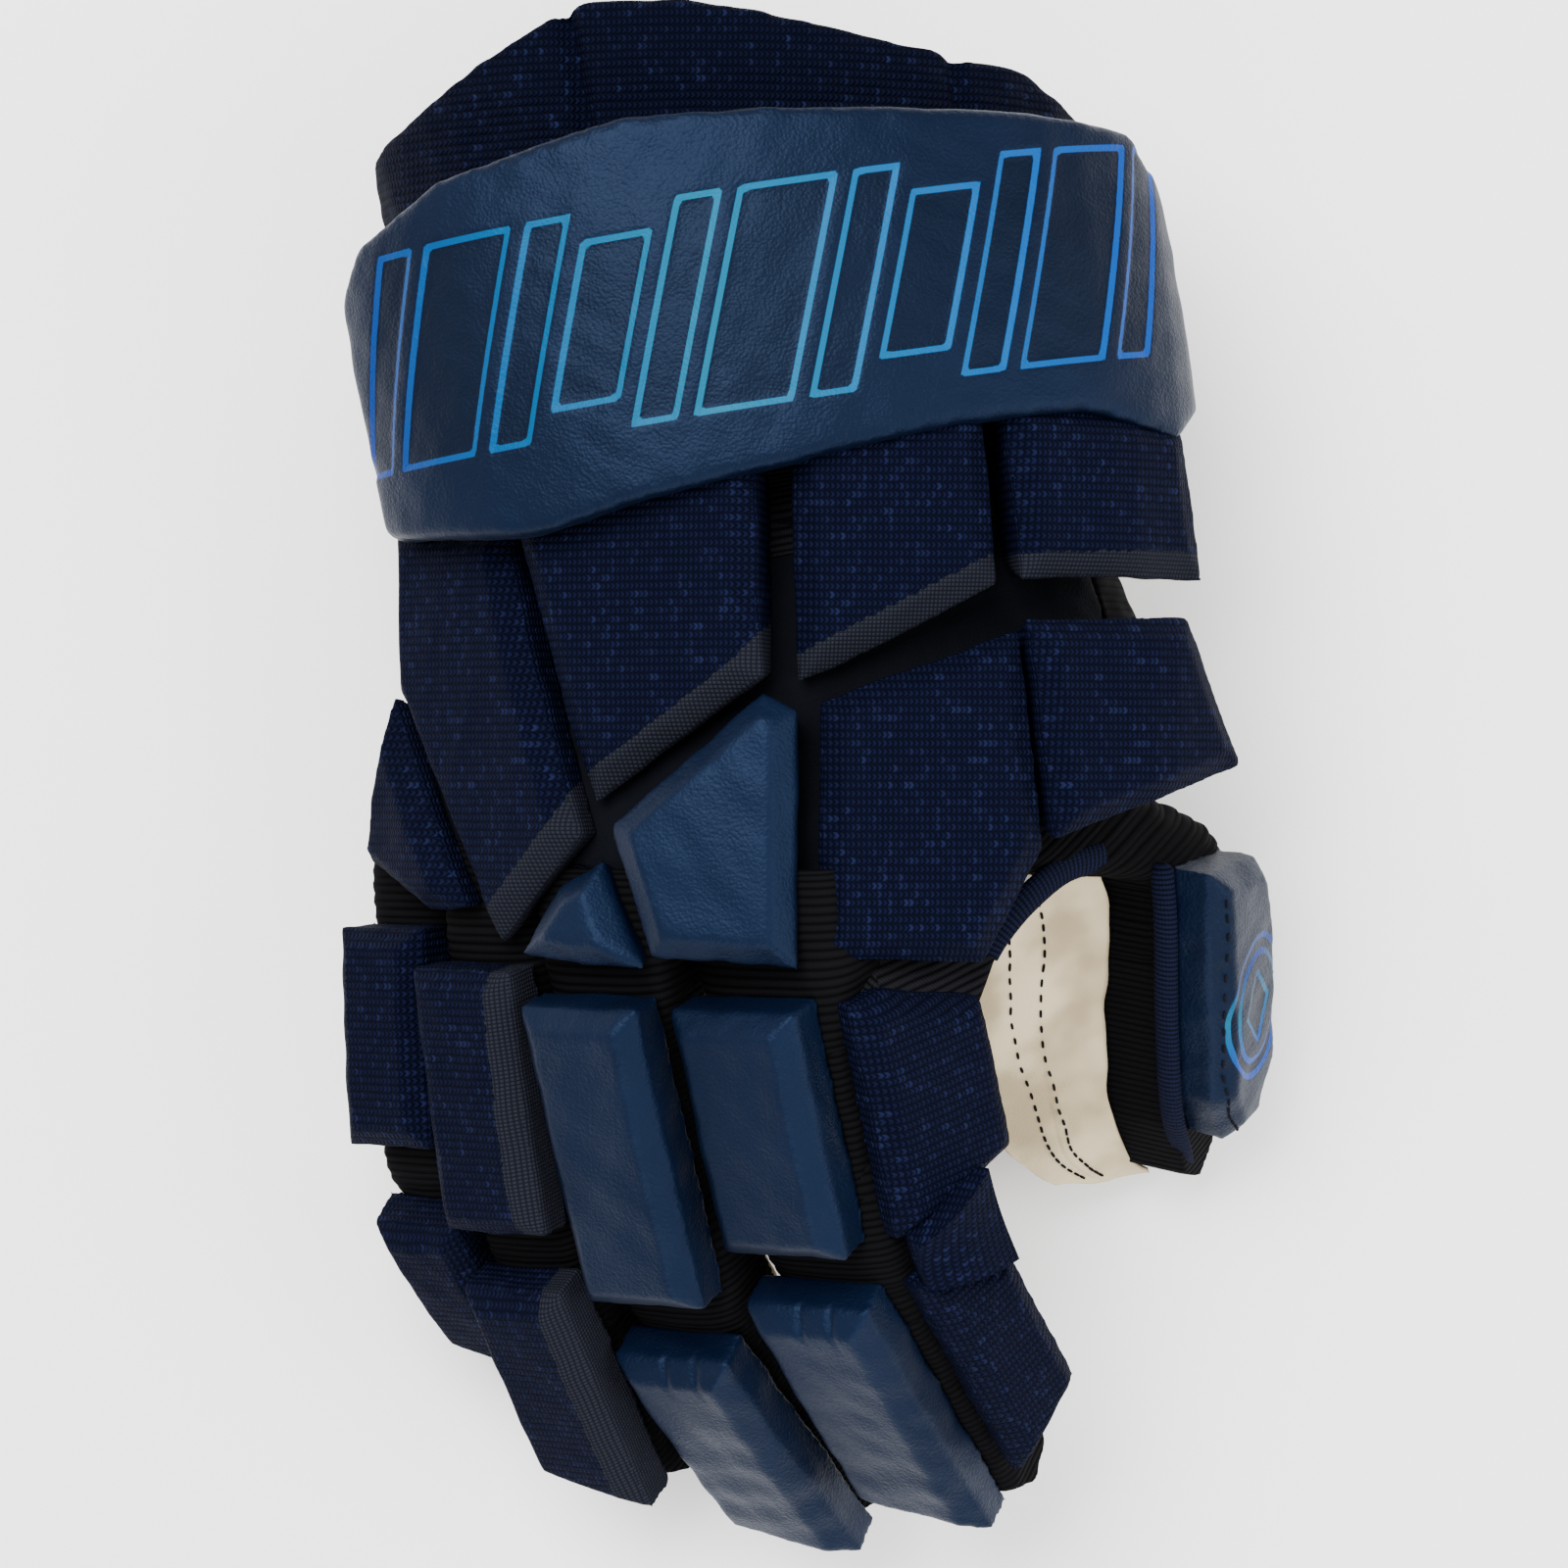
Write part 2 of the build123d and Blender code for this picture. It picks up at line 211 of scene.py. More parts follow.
def knit_parts(finish, row_pitch, stitch_pitch):
    """Stitch height and a random number for each stitch of a coarse knit."""
    across, along = finish.weave()
    row = along / row_pitch
    in_row = row.math("FRACT")
    slant = (in_row - 0.5).math("ABSOLUTE")
    column = across / stitch_pitch + slant * 0.9
    in_column = column.math("FRACT")
    height = (in_row * pi).math("SINE") * (in_column * pi).math("SINE")
    cell = finish.pair(column.math("FLOOR"), row.math("FLOOR"))
    random = finish.texture("ShaderNodeTexWhiteNoise", cell, 1, noise_dimensions="2D")
    streak = finish.pair(across / 0.006, row.math("FLOOR") * 7.3)
    streaks = finish.texture("ShaderNodeTexNoise", streak, 1.0, noise_dimensions="2D")
    return height, random, streaks


def knit(name, dark, mid, fleck, trim=None, amount=0.72):
    """Flecked knit with painted shade between its stitches; where the attribute "trim" is 1 it turns to
    fine grey mesh.
    """
    finish = Finish(name)
    height, random, streaks = knit_parts(finish, 0.0018, 0.00115)
    # painted shade: the valleys between stitches take the dark colour and the stitch tops the mid colour
    base = finish.mix(height.step(0.1, 0.9), dark, mid)
    flecks = random.step(amount - 0.12, amount + 0.28) * streaks.step(0.3, 0.68) * height.step(0.0, 0.6)
    shade = finish.mix(flecks, base, fleck)
    tone = finish.mix(wear(finish), shade, mid)
    part = finish.node("ShaderNodeMix", data_type="RGBA")
    part.inputs["Factor"].default_value = 0.12
    finish.link(shade, part.inputs[6])
    finish.link(tone, part.inputs[7])
    result = part.outputs[2]
    relief = height
    if trim is not None:
        across, along = finish.weave()
        grid = ((across / 0.0009 * pi).math("SINE") * (along / 0.0009 * pi).math("SINE")).math("ABSOLUTE")
        mask = finish.attribute("trim").step(0.4, 0.6)
        # painted shade: the grooves between the mesh's raised cells are darker than the cells
        result = finish.mix(mask, result,
                            finish.mix(grid.step(0.1, 0.7), tuple(c * 0.35 for c in trim), trim))
        relief = height * (mask * -1.0 + 1.0) + grid * mask * 0.4
    finish.colour(result)
    finish.rough(0.82)
    finish.sheen(0.05, (0.45, 0.55, 1, 1))
    finish.bump(relief, 0.0007, 0.9)
    return finish.material


def leather(name, base, light, marks=False):
    """Pebbled leather; with marks, "mark" is a distance in millimetres from a pressed figure."""
    finish = Finish(name)
    place = finish.place()
    pebble = finish.texture("ShaderNodeTexVoronoi", place, 1500.0, feature="SMOOTH_F1")
    fine = finish.texture("ShaderNodeTexNoise", place, 420.0)
    patch = wear(finish, 28.0)
    tone = finish.mix(patch.step(0.3, 0.75), base, light)
    if marks:
        mark = finish.attribute("mark")
        run = finish.attribute("run")
        line = mark.math("ABSOLUTE").step(0.78, 0.58)
        ramp = finish.node("ShaderNodeValToRGB")
        stops = ramp.color_ramp.elements
        stops[0].color = (0.0, 0.016, 0.12, 1)
        stops[1].color = (0.0, 0.03, 0.2, 1)
        stops.new(0.45).color = (0.0, 0.075, 0.13, 1)
        finish.link(run, ramp.inputs[0])
        inner = mark.step(0.4, -0.4)
        tone = finish.mix(inner * 0.55, tone, tuple(c * 0.45 for c in base))
        tone = finish.mix(line, tone, ramp.outputs[0])
    finish.colour(tone)
    finish.rough(pebble * 0.12 + patch * 0.1 + 0.4)
    finish.sheen(0.16, (0.35, 0.55, 1, 1))
    finish.bump(pebble * 0.7 + fine * 0.6, 0.00022, 0.8)
    return finish.material


def ribbed(name, dark, light, pitch=0.0016):
    """Ribbed stretch cloth, with painted shade in the grooves between its ribs."""
    finish = Finish(name)
    across, along = finish.weave()
    rib = (along / pitch * pi).math("SINE").math("ABSOLUTE")
    cross = (across / 0.0007 * pi).math("SINE").math("ABSOLUTE")
    height = rib * (cross * 0.35 + 0.65)
    # painted shade: the grooves take the dark colour and the rib tops the light one
    finish.colour(finish.mix(height.step(0.1, 0.95), dark, light))
    finish.rough(0.85)
    finish.sheen(0.04)
    finish.bump(height, 0.0005, 0.8)
    return finish.material


def suede(name, base, dark, palm_mask=False, other=(0.001, 0.001, 0.0013)):
    """Brushed suede; with palm_mask it shows where "palm" is 1, and ribbed cloth elsewhere."""
    finish = Finish(name)
    place = finish.place()
    mottle = finish.texture("ShaderNodeTexNoise", place, 60.0, noise_dimensions="3D")
    nap = finish.texture("ShaderNodeTexNoise", place, 1400.0)
    stain = finish.texture("ShaderNodeTexNoise", place, 14.0)
    tone = finish.mix(mottle.step(0.35, 0.7), base, dark)
    tone = finish.mix(stain.step(0.5, 0.75) * 0.45, tone, tuple(c * 0.6 for c in dark))
    height = nap
    rough = 0.9
    if palm_mask:
        along = finish.weave()[1]
        rib = (along / 0.0017 * pi).math("SINE").math("ABSOLUTE")
        mask = finish.attribute("palm").step(0.45, 0.55)
        # painted shade: the ribbed cloth is darker in its grooves and lighter on its rib tops
        cloth = finish.mix(rib.step(0.1, 0.95), tuple(c * 0.4 for c in other),
                           tuple(c * 2.2 for c in other))
        tone = finish.mix(mask, cloth, tone)
        height = nap * mask + rib * (mask * -1.0 + 1.0) * 2.0
    finish.colour(tone)
    finish.rough(rough)
    finish.sheen(0.04)
    finish.bump(height, 0.0003, 0.6)
    return finish.material


def plain_weave(name, base, pitch=0.0008):
    """Plain woven cloth, on the object's own place."""
    finish = Finish(name)
    place = finish.place()
    threads = finish.texture("ShaderNodeTexVoronoi", place, 1 / pitch)
    patch = wear(finish)
    finish.colour(finish.mix(patch, tuple(c * 0.7 for c in base), tuple(c * 1.5 for c in base)))
    finish.rough(0.9)
    finish.sheen(0.04)
    finish.bump(threads, 0.0003, 0.5)
    return finish.material


navy_knit = knit("flecked_knit", (0.0007, 0.0009, 0.0034), (0.0026, 0.0034, 0.0135),
                 (0.0062, 0.0085, 0.031), trim=(0.011, 0.012, 0.017))
dark_knit = knit("cuff_knit", (0.0005, 0.0007, 0.0026), (0.0018, 0.0024, 0.0095), (0.007, 0.01, 0.036),
                 amount=0.8)
pad_leather = leather("pad_leather", (0.0007, 0.0023, 0.0088), (0.0011, 0.0033, 0.0118))
band_leather = leather("marked_leather", (0.0006, 0.0019, 0.0074), (0.0009, 0.0027, 0.0098), marks=True)
palm_suede = suede("palm_suede", (0.55, 0.46, 0.3), (0.34, 0.27, 0.165))
sleeve_cloth = suede("sleeve_cloth", (0.55, 0.46, 0.3), (0.34, 0.27, 0.165), palm_mask=True)
black_rib = ribbed("black_rib", (0.001, 0.001, 0.0014), (0.007, 0.007, 0.009))
tape_cloth = ribbed("binding_tape", (0.0008, 0.0011, 0.004), (0.004, 0.0055, 0.018), 0.0012)
backing_cloth = plain_weave("backing_cloth", (0.0015, 0.0018, 0.003))
lining_cloth = plain_weave("lining_cloth", (0.012, 0.014, 0.03), 0.0012)
thread_finish = plain_weave("thread", (0.004, 0.004, 0.006), 0.0005)


# ---- piece building -------------------------------------------------------------------------
sx, sy, sz = -6.376, 4.771, -2.826  # the row frame's offset from the pattern's centre lines, in millimetres


def at(x, y, z):
    """A point given on the pattern's centre lines, in millimetres, as a place in the row frame."""
    return np.array([x + sx, y + sy, z + sz]) * MM


def unit(v):
    v = np.asarray(v, float)
    return v / np.linalg.norm(v)


def points_of(mesh):
    flat = np.empty(len(mesh.vertices) * 3)
    mesh.vertices.foreach_get("co", flat)
    return flat.reshape(-1, 3)


def normals_of(mesh):
    flat = np.empty(len(mesh.vertices) * 3, np.float32)
    mesh.vertex_normals.foreach_get("vector", flat)
    return flat.reshape(-1, 3).astype(float)


def set_points(mesh, points):
    mesh.vertices.foreach_set("co", points.ravel())
    mesh.update()


WAVES = 7  # sine waves summed in the smooth noise


def wobble(points, size, seed):
    """Smooth noise in about -1..1 whose features are about size across."""
    local = np.random.default_rng(seed)
    total = np.zeros(len(points))
    for _ in range(WAVES):
        way = unit(local.normal(size=3))
        total += np.sin(points @ way * (2 * pi / size) * local.uniform(0.6, 1.5) + local.uniform(0, 6.3))
    return total / (WAVES / 2)


def weave_map(mesh, across, along, out):
    """Lays cloth coordinates on a piece: on its face along the given axes, and wrapped down its sides."""
    points = points_of(mesh)
    loops = np.empty(len(mesh.loops), int)
    mesh.loops.foreach_get("vertex_index", loops)
    count = len(mesh.polygons)
    normal = np.empty(count * 3, np.float32)
    mesh.polygons.foreach_get("normal", normal)
    total = np.empty(count, int)
    mesh.polygons.foreach_get("loop_total", total)
    per_loop = np.repeat(normal.reshape(-1, 3).astype(float), total, axis=0)
    place = points[loops]
    u, v, w = place @ across, place @ along, place @ out
    facing = np.abs(np.stack([per_loop @ across, per_loop @ along, per_loop @ out]))
    side = np.argmax(facing * np.array([[1.0], [1.0], [1.35]]), axis=0)
    uv = np.stack([np.where(side == 0, w, u), np.where(side == 1, w, v)], axis=1)
    layer = mesh.uv_layers.new(name="weave")
    layer.uv.foreach_set("vector", uv.ravel())


def add_value(mesh, name, values):
    layer = mesh.attributes.new(name, "FLOAT", "POINT")
    layer.data.foreach_set("value", np.asarray(values, np.float32))


def piece(name, mesh, material, body, nodes=()):
    """Puts a mesh in the scene as one piece of the glove."""
    obj = bpy.data.objects.new(name, mesh)
    bpy.context.scene.collection.objects.link(obj)
    mesh.materials.clear()
    mesh.materials.append(material)
    mesh.polygons.foreach_set("use_smooth", [True] * len(mesh.polygons))
    mesh.update()
    if isinstance(body, str):
        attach(obj, body)
    else:
        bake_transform(obj)
    if nodes:
        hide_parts(*nodes)
    return obj


def shells_of(bm):
    """The separate shells of a bmesh, the widest first."""
    left = set(bm.verts)
    shells = []
    while left:
        queue = [left.pop()]
        found = set(queue)
        while queue:
            for edge in queue.pop().link_edges:
                for vert in edge.verts:
                    if vert in left:
                        left.remove(vert)
                        found.add(vert)
                        queue.append(vert)
        span = np.ptp(np.array([v.co for v in found]), axis=0)
        shells.append((float(np.linalg.norm(span)), found))
    shells.sort(key=lambda s: -s[0])
    return [s[1] for s in shells]


def cad_shell(node, filled_by=()):
    """A CAD node merged into one bmesh, with what fills it."""
    bm = bmesh.new()
    bm.from_mesh(frame["nodes"][node].data)
    low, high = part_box(node)
    for core in filled_by:
        inner = bmesh.new()
        inner.from_mesh(frame["nodes"][core].data)
        bmesh.ops.remove_doubles(inner, verts=inner.verts, dist=1e-6)
        for shell in shells_of(inner):
            co = np.array([v.co for v in shell])
            if (co.min(axis=0) < np.array(low)).any() or (co.max(axis=0) > np.array(high)).any():
                bmesh.ops.delete(inner, geom=list(shell), context="VERTS")
        kept = bpy.data.meshes.new("core")
        inner.to_mesh(kept)
        inner.free()
        bm.from_mesh(kept)
    bmesh.ops.remove_doubles(bm, verts=bm.verts, dist=1e-6)
    return bm


def remeshed(bm, voxel, rounds, factor=0.5):
    """Even quads over a closed shell, softened."""
    mesh = bpy.data.meshes.new("soft")
    bm.to_mesh(mesh)
    bm.free()
    obj = bpy.data.objects.new("soft", mesh)
    bpy.context.scene.collection.objects.link(obj)
    remesh = obj.modifiers.new("remesh", "REMESH")
    remesh.mode = "VOXEL"
    remesh.voxel_size = voxel
    smooth = obj.modifiers.new("smooth", "SMOOTH")
    smooth.factor = factor
    smooth.iterations = rounds
    done = bpy.data.meshes.new_from_object(obj.evaluated_get(bpy.context.evaluated_depsgraph_get()))
    bpy.data.objects.remove(obj)
    bm = bmesh.new()
    bm.from_mesh(done)
    inside = [v for shell in shells_of(bm)[1:] for v in shell]
    bmesh.ops.delete(bm, geom=inside, context="VERTS")
    bm.to_mesh(done)
    bm.free()
    return done


def top_axes(node, expected, along_hint):
    """Across, along and out for a pad, read from its largest flat face that looks the expected way."""
    mesh = frame["nodes"][node].data
    best = {}
    for polygon in mesh.polygons:
        if polygon.normal.dot(Vector(expected)) > 0.35:
            key = tuple(round(c, 2) for c in polygon.normal)
            best[key] = best.get(key, 0) + polygon.area
    out = unit(max(best, key=best.get))
    along = unit(np.asarray(along_hint) - out * np.dot(along_hint, out))
    return unit(np.cross(along, out)), along, out


def soften(mesh, out, seed, puff, crumple):
    """Makes a block a stuffed pad: its face crowns, its sides pull in, and its cloth ripples a little."""
    points = points_of(mesh)
    normal = normals_of(mesh)
    height = points @ out
    top = height.max()
    centre = points.mean(axis=0)
    flat = points - np.outer(points @ out, out)
    spread = np.linalg.norm(flat - (centre - out * (centre @ out)), axis=1)
    reach = np.percentile(spread, 97)
    crown = np.clip(1 - (spread / reach) ** 2, 0, 1) * np.clip((normal @ out), 0, 1)
    moved = points + np.outer(crown * puff, out)
    amount = crumple * (0.6 * wobble(points, 0.022, seed) + 0.4 * wobble(points, 0.009, seed + 1))
    moved += normal * amount[:, None]
    low = np.clip((top - height) / 0.016, 0, 1)
    moved -= normal * (low * (1 - np.abs(normal @ out)) * puff * 0.8)[:, None]
    set_points(mesh, moved)


SEED = [11]


def cushion(node, body, material, expected=(0, 0, 1), along=(0, 1, 0), voxel=0.0009, rounds=7,
            puff=0.0007, crumple=0.00035, shape=None):
    """A stuffed pad made from a CAD cover."""
    axes = top_axes(node, expected, along)
    board = ["cuff_board"] if node == "cuff_band" else []
    inner = node.replace("_pad", "_foam"), node + "_foam", node.replace("_pad", "_sheet")
    own = [n for n in inner if n in frame["nodes"] and n != node]
    filling = own + board + (["backhand_foam_cores", "backhand_sheets"] if body == "hand" else [])
    mesh = remeshed(cad_shell(node, filling), voxel * (1),
                    rounds)
    SEED[0] += 3
    soften(mesh, axes[2], SEED[0], puff, crumple)
    if shape is not None:
        shape(mesh, axes)
    weave_map(mesh, *axes)
    obj = piece("soft_" + node, mesh, material, body, [node] + own + board)
    return obj


def trim_mask(test):
    """A shape step that marks where a pad has mesh trim, and draws its rear end back towards the cuff."""
    def shape(mesh, axes):
        points = points_of(mesh) / MM
        back = np.clip((points[:, 1] - 30) / 30, 0, 1) * 0.008
        set_points(mesh, points_of(mesh) + np.outer(back, (0, 1, 0)))
        add_value(mesh, "trim", test(points[:, 0], points[:, 1], points[:, 2]))
    return shape


def darts(middle, way, direction):
    """A shape step that takes two folds into the end of a leather pad next to a joint."""
    def shape(mesh, axes):
        points = (points_of(mesh) - middle) / MM
        across, along, up = points @ across_row, points @ direction, points @ way
        for start in (-1.5, 6.5):
            fold = np.exp(-(((across - start - (along - 4) * 0.12) / 0.8) ** 2))
            fold = fold * np.clip((13 - along) / 8, 0, 1)
            set_points(mesh, points_of(mesh) - np.outer(fold * 0.0011 * np.clip((up - 14) / 4, 0, 1), way))
        creases = np.sin(along * 0.55 + 0.35 * np.sin(across * 0.4))
        creases = creases * np.clip((along - 24) / 14, 0, 1) * 0.00012
        set_points(mesh, points_of(mesh) + np.outer(creases * np.clip(normals_of(mesh) @ way, 0, 1), way))
    return shape


def no_trim(mesh, axes):
    add_value(mesh, "trim", np.zeros(len(mesh.vertices)))


def creased(start, then):
    """A shape step that turns a pad down beyond start, in millimetres, before another step."""
    def shape(mesh, axes):
        points = points_of(mesh)
        past = np.clip(points[:, 0] / MM - start, 0, 14) * MM
        pinch = np.exp(-((points[:, 0] / MM - start) / 1.6) ** 2) * 0.0007
        set_points(mesh, points - np.outer(past * 0.5 + pinch * np.clip(normals_of(mesh)[:, 2], 0, 1),
                                           (0, 0, 1)))
        then(mesh, axes)
    return shape


def beyond(ax, ay, bx, by, width):
    """1 within width of a line from a to b on the pattern, in millimetres seen from above."""
    ax, ay, bx, by = ax + sx, ay + sy, bx + sx, by + sy
    way = unit((bx - ax, by - ay))

    def test(x, y, z):
        off = np.abs((x - ax) * way[1] - (y - ay) * way[0])
        return (off < width).astype(float)
    return test


def surface(obj):
    """A search tree over an object's faces, in the row frame."""
    bm = bmesh.new()
    bm.from_mesh(obj.data)
    tree = BVHTree.FromBMesh(bm)
    bm.free()
    return tree


def closed_mesh(name, verts, faces):
    """A mesh from places and faces, with every face turned outwards."""
    mesh = bpy.data.meshes.new(name)
    mesh.from_pydata([tuple(v) for v in verts], [], faces)
    bm = bmesh.new()
    bm.from_mesh(mesh)
    bmesh.ops.recalc_face_normals(bm, faces=bm.faces)
    bm.to_mesh(mesh)
    bm.free()
    return mesh


def slab(grid, thickness):
    """A closed panel of even thickness through a grid of points."""
    grid = np.array(grid)
    rows, columns = grid.shape[:2]
    down = np.gradient(grid, axis=0)
    over = np.gradient(grid, axis=1)
    normal = np.cross(over, down)
    normal /= np.linalg.norm(normal, axis=2, keepdims=True)
    verts = np.concatenate([(grid + normal * thickness / 2).reshape(-1, 3),
                            (grid - normal * thickness / 2).reshape(-1, 3)])
    n = rows * columns
    faces = []
    for r in range(rows - 1):
        for c in range(columns - 1):
            a, b = r * columns + c, (r + 1) * columns + c
            faces.append((a, a + 1, b + 1, b))
            faces.append((n + a, n + b, n + b + 1, n + a + 1))
    rim = list(range(columns)) + [r * columns + columns - 1 for r in range(1, rows)]
    rim += [(rows - 1) * columns + c for c in range(columns - 2, -1, -1)]
    rim += [r * columns for r in range(rows - 2, 0, -1)]
    for i, a in enumerate(rim):
        b = rim[(i + 1) % len(rim)]
        faces.append((a, n + a, n + b, b))
    return closed_mesh("slab", verts, faces)


def between(before, a, b, after, f):
    """The place a fraction f of the way from a to b on a smooth curve through four points."""
    return 0.5 * (2 * a + (b - before) * f + (2 * before - 5 * a + 4 * b - after) * f**2
                  + (3 * a - before - 3 * b + after) * f**3)


def smooth_path(path, count):
    """Points along a smooth curve through a few points."""
    path = np.array(path, float)
    spans = len(path) - 1
    found = []
    for i in range(count):
        t = i / (count - 1) * spans
        k = min(int(t), spans - 1)
        f = t - k
        found.append(between(path[max(k - 1, 0)], path[k], path[k + 1], path[min(k + 2, spans)], f))
    return np.array(found)


# ---- backhand rolls -------------------------------------------------------------------------
cushion("pinky_edge_roll", "hand", navy_knit, (-0.8, 0, 0.6), shape=no_trim)
cushion("ring_roll", "hand", navy_knit, (-0.6, 0, 0.7),
        shape=trim_mask(beyond(-47, -11, -66, -36, 5.5)))
cushion("middle_roll", "hand", navy_knit, shape=trim_mask(beyond(-6, 23, -43, -5, 6)))
cushion("index_roll_upper", "hand", navy_knit, shape=trim_mask(beyond(3, 21, 47, 39, 6)))
cushion("index_roll_lower", "hand", navy_knit, shape=no_trim)
cushion("thumb_roll_upper", "hand", navy_knit,
        shape=creased(75 + sx, trim_mask(beyond(53, 40, 95, 41, 5))))
cushion("thumb_roll_lower", "hand", navy_knit, shape=creased(84 + sx, no_trim))
cushion("middle_knuckle_pad", "hand", pad_leather, puff=0.001)
cushion("ring_knuckle_pad", "hand", pad_leather, (-0.5, 0, 0.8), puff=0.001)

# ---- fingers --------------------------------------------------------------------------------
LEAN = radians(34)
across_row = np.array([cos(LEAN), 0, sin(LEAN)])
back_flat = np.array([-sin(LEAN), 0, cos(LEAN)])
ahead = np.array([0, -1.0, 0])
joints = {j["name"]: j for j in frame["joints"]}
fingers = {
    "index": ((20.8, 44), (0.066, 0.078), (-0.0125, 0.0185)),
    "middle": ((20.8, 48), (0.080, 0.076), (-0.0125, 0.0125)),
    "ring": ((12, 34), (0.069, 0.066), (-0.012, 0.012)),
    "pinky": ((4, 44), (0.058, 0.053), (-0.011, 0.011)),
}


def finger_axes(bend):
    """Along the finger part, and out of its back."""
    a = radians(bend)
    return ahead * cos(a) - back_flat * sin(a), back_flat * cos(a) + ahead * sin(a)


SQUARENESS = 0.5  # the power that squares off a round loop


def ring_loop(centre, across, out, low, high, half, count=40):
    """A rounded-rectangle loop of points."""
    middle = (low + high) / 2
    wide, tall = (high - low) / 2, half
    loop = []
    for i in range(count):
        t = 2 * pi * i / count
        c, s = cos(t), sin(t)
        x = np.sign(c) * abs(c) ** SQUARENESS * wide
        y = np.sign(s) * abs(s) ** SQUARENESS * tall
        loop.append(centre + across * (middle + x) + out * y)
    return np.array(loop)


def finger_rings(low, high, places):
    """Loops round a finger: each place has a centre, an out direction, its slack and its half height."""
    return [ring_loop(centre, across_row, way, low - slack, high + slack, half)
            for centre, way, slack, half in places]


def tube(loops, thickness, steps, ripple, seed):
    """A cloth tube through loops, with an inner wall; it ripples between its ends."""
    loops = np.array(loops)
    rows = []
    spans = len(loops) - 1
    for i in range(steps + 1):
        t = i / steps * spans
        k = min(int(t), spans - 1)
        f = t - k
        curve = between(loops[max(k - 1, 0)], loops[k], loops[k + 1], loops[min(k + 2, spans)], f)
        centre = curve.mean(axis=0)
        swell = ripple * sin(pi * i / steps) * (0.5 + 0.5 * sin(i * 1.9))
        rows.append(curve + (curve - centre) / np.linalg.norm(curve - centre, axis=1)[:, None] * swell)
    outer = np.array(rows)
    centre = outer.mean(axis=1, keepdims=True)
    inner = outer - (outer - centre) / np.linalg.norm(outer - centre, axis=2)[..., None] * thickness
    count = outer.shape[1]
    verts = np.concatenate([outer.reshape(-1, 3), inner[::-1].reshape(-1, 3)])
    total = 2 * (steps + 1)
    faces = []
    for r in range(total):
        for c in range(count):
            n = (r + 1) % total
            d = (c + 1) % count
            faces.append((r * count + c, r * count + d, n * count + d, n * count + c))
    mesh = closed_mesh("tube", verts, faces)
    points = points_of(mesh)
    set_points(mesh, points + normals_of(mesh) * (wobble(points, 0.012, seed) * 0.00025)[:, None])
    return mesh, count, steps


def lay_rings(mesh, count, steps, length, girth):
    """Cloth coordinates round and along a tube."""
    loops = np.empty(len(mesh.loops), int)
    mesh.loops.foreach_get("vertex_index", loops)
    row, column = loops // count, loops % count
    row = np.where(row > steps, 2 * steps + 1 - row, row)
    start = np.zeros(len(mesh.polygons), int)
    mesh.polygons.foreach_get("loop_start", start)
    wrapped = column.copy()
    for s in start:
        part = column[s:s + 4]
        if part.max() - part.min() > count / 2:
            wrapped[s:s + 4] = np.where(part < count / 2, part + count, part)
    uv = np.stack([wrapped / count * girth, row / steps * length], axis=1)
    mesh.uv_layers.new(name="weave").uv.foreach_set("vector", uv.ravel())


def palm_value(mesh, out, centre, height=-0.0078):
    """1 on the underside of a sleeve, below a height from its middle line."""
    add_value(mesh, "palm", np.clip(0.5 - ((points_of(mesh) - centre) @ out - height) / 0.0012, 0, 1))


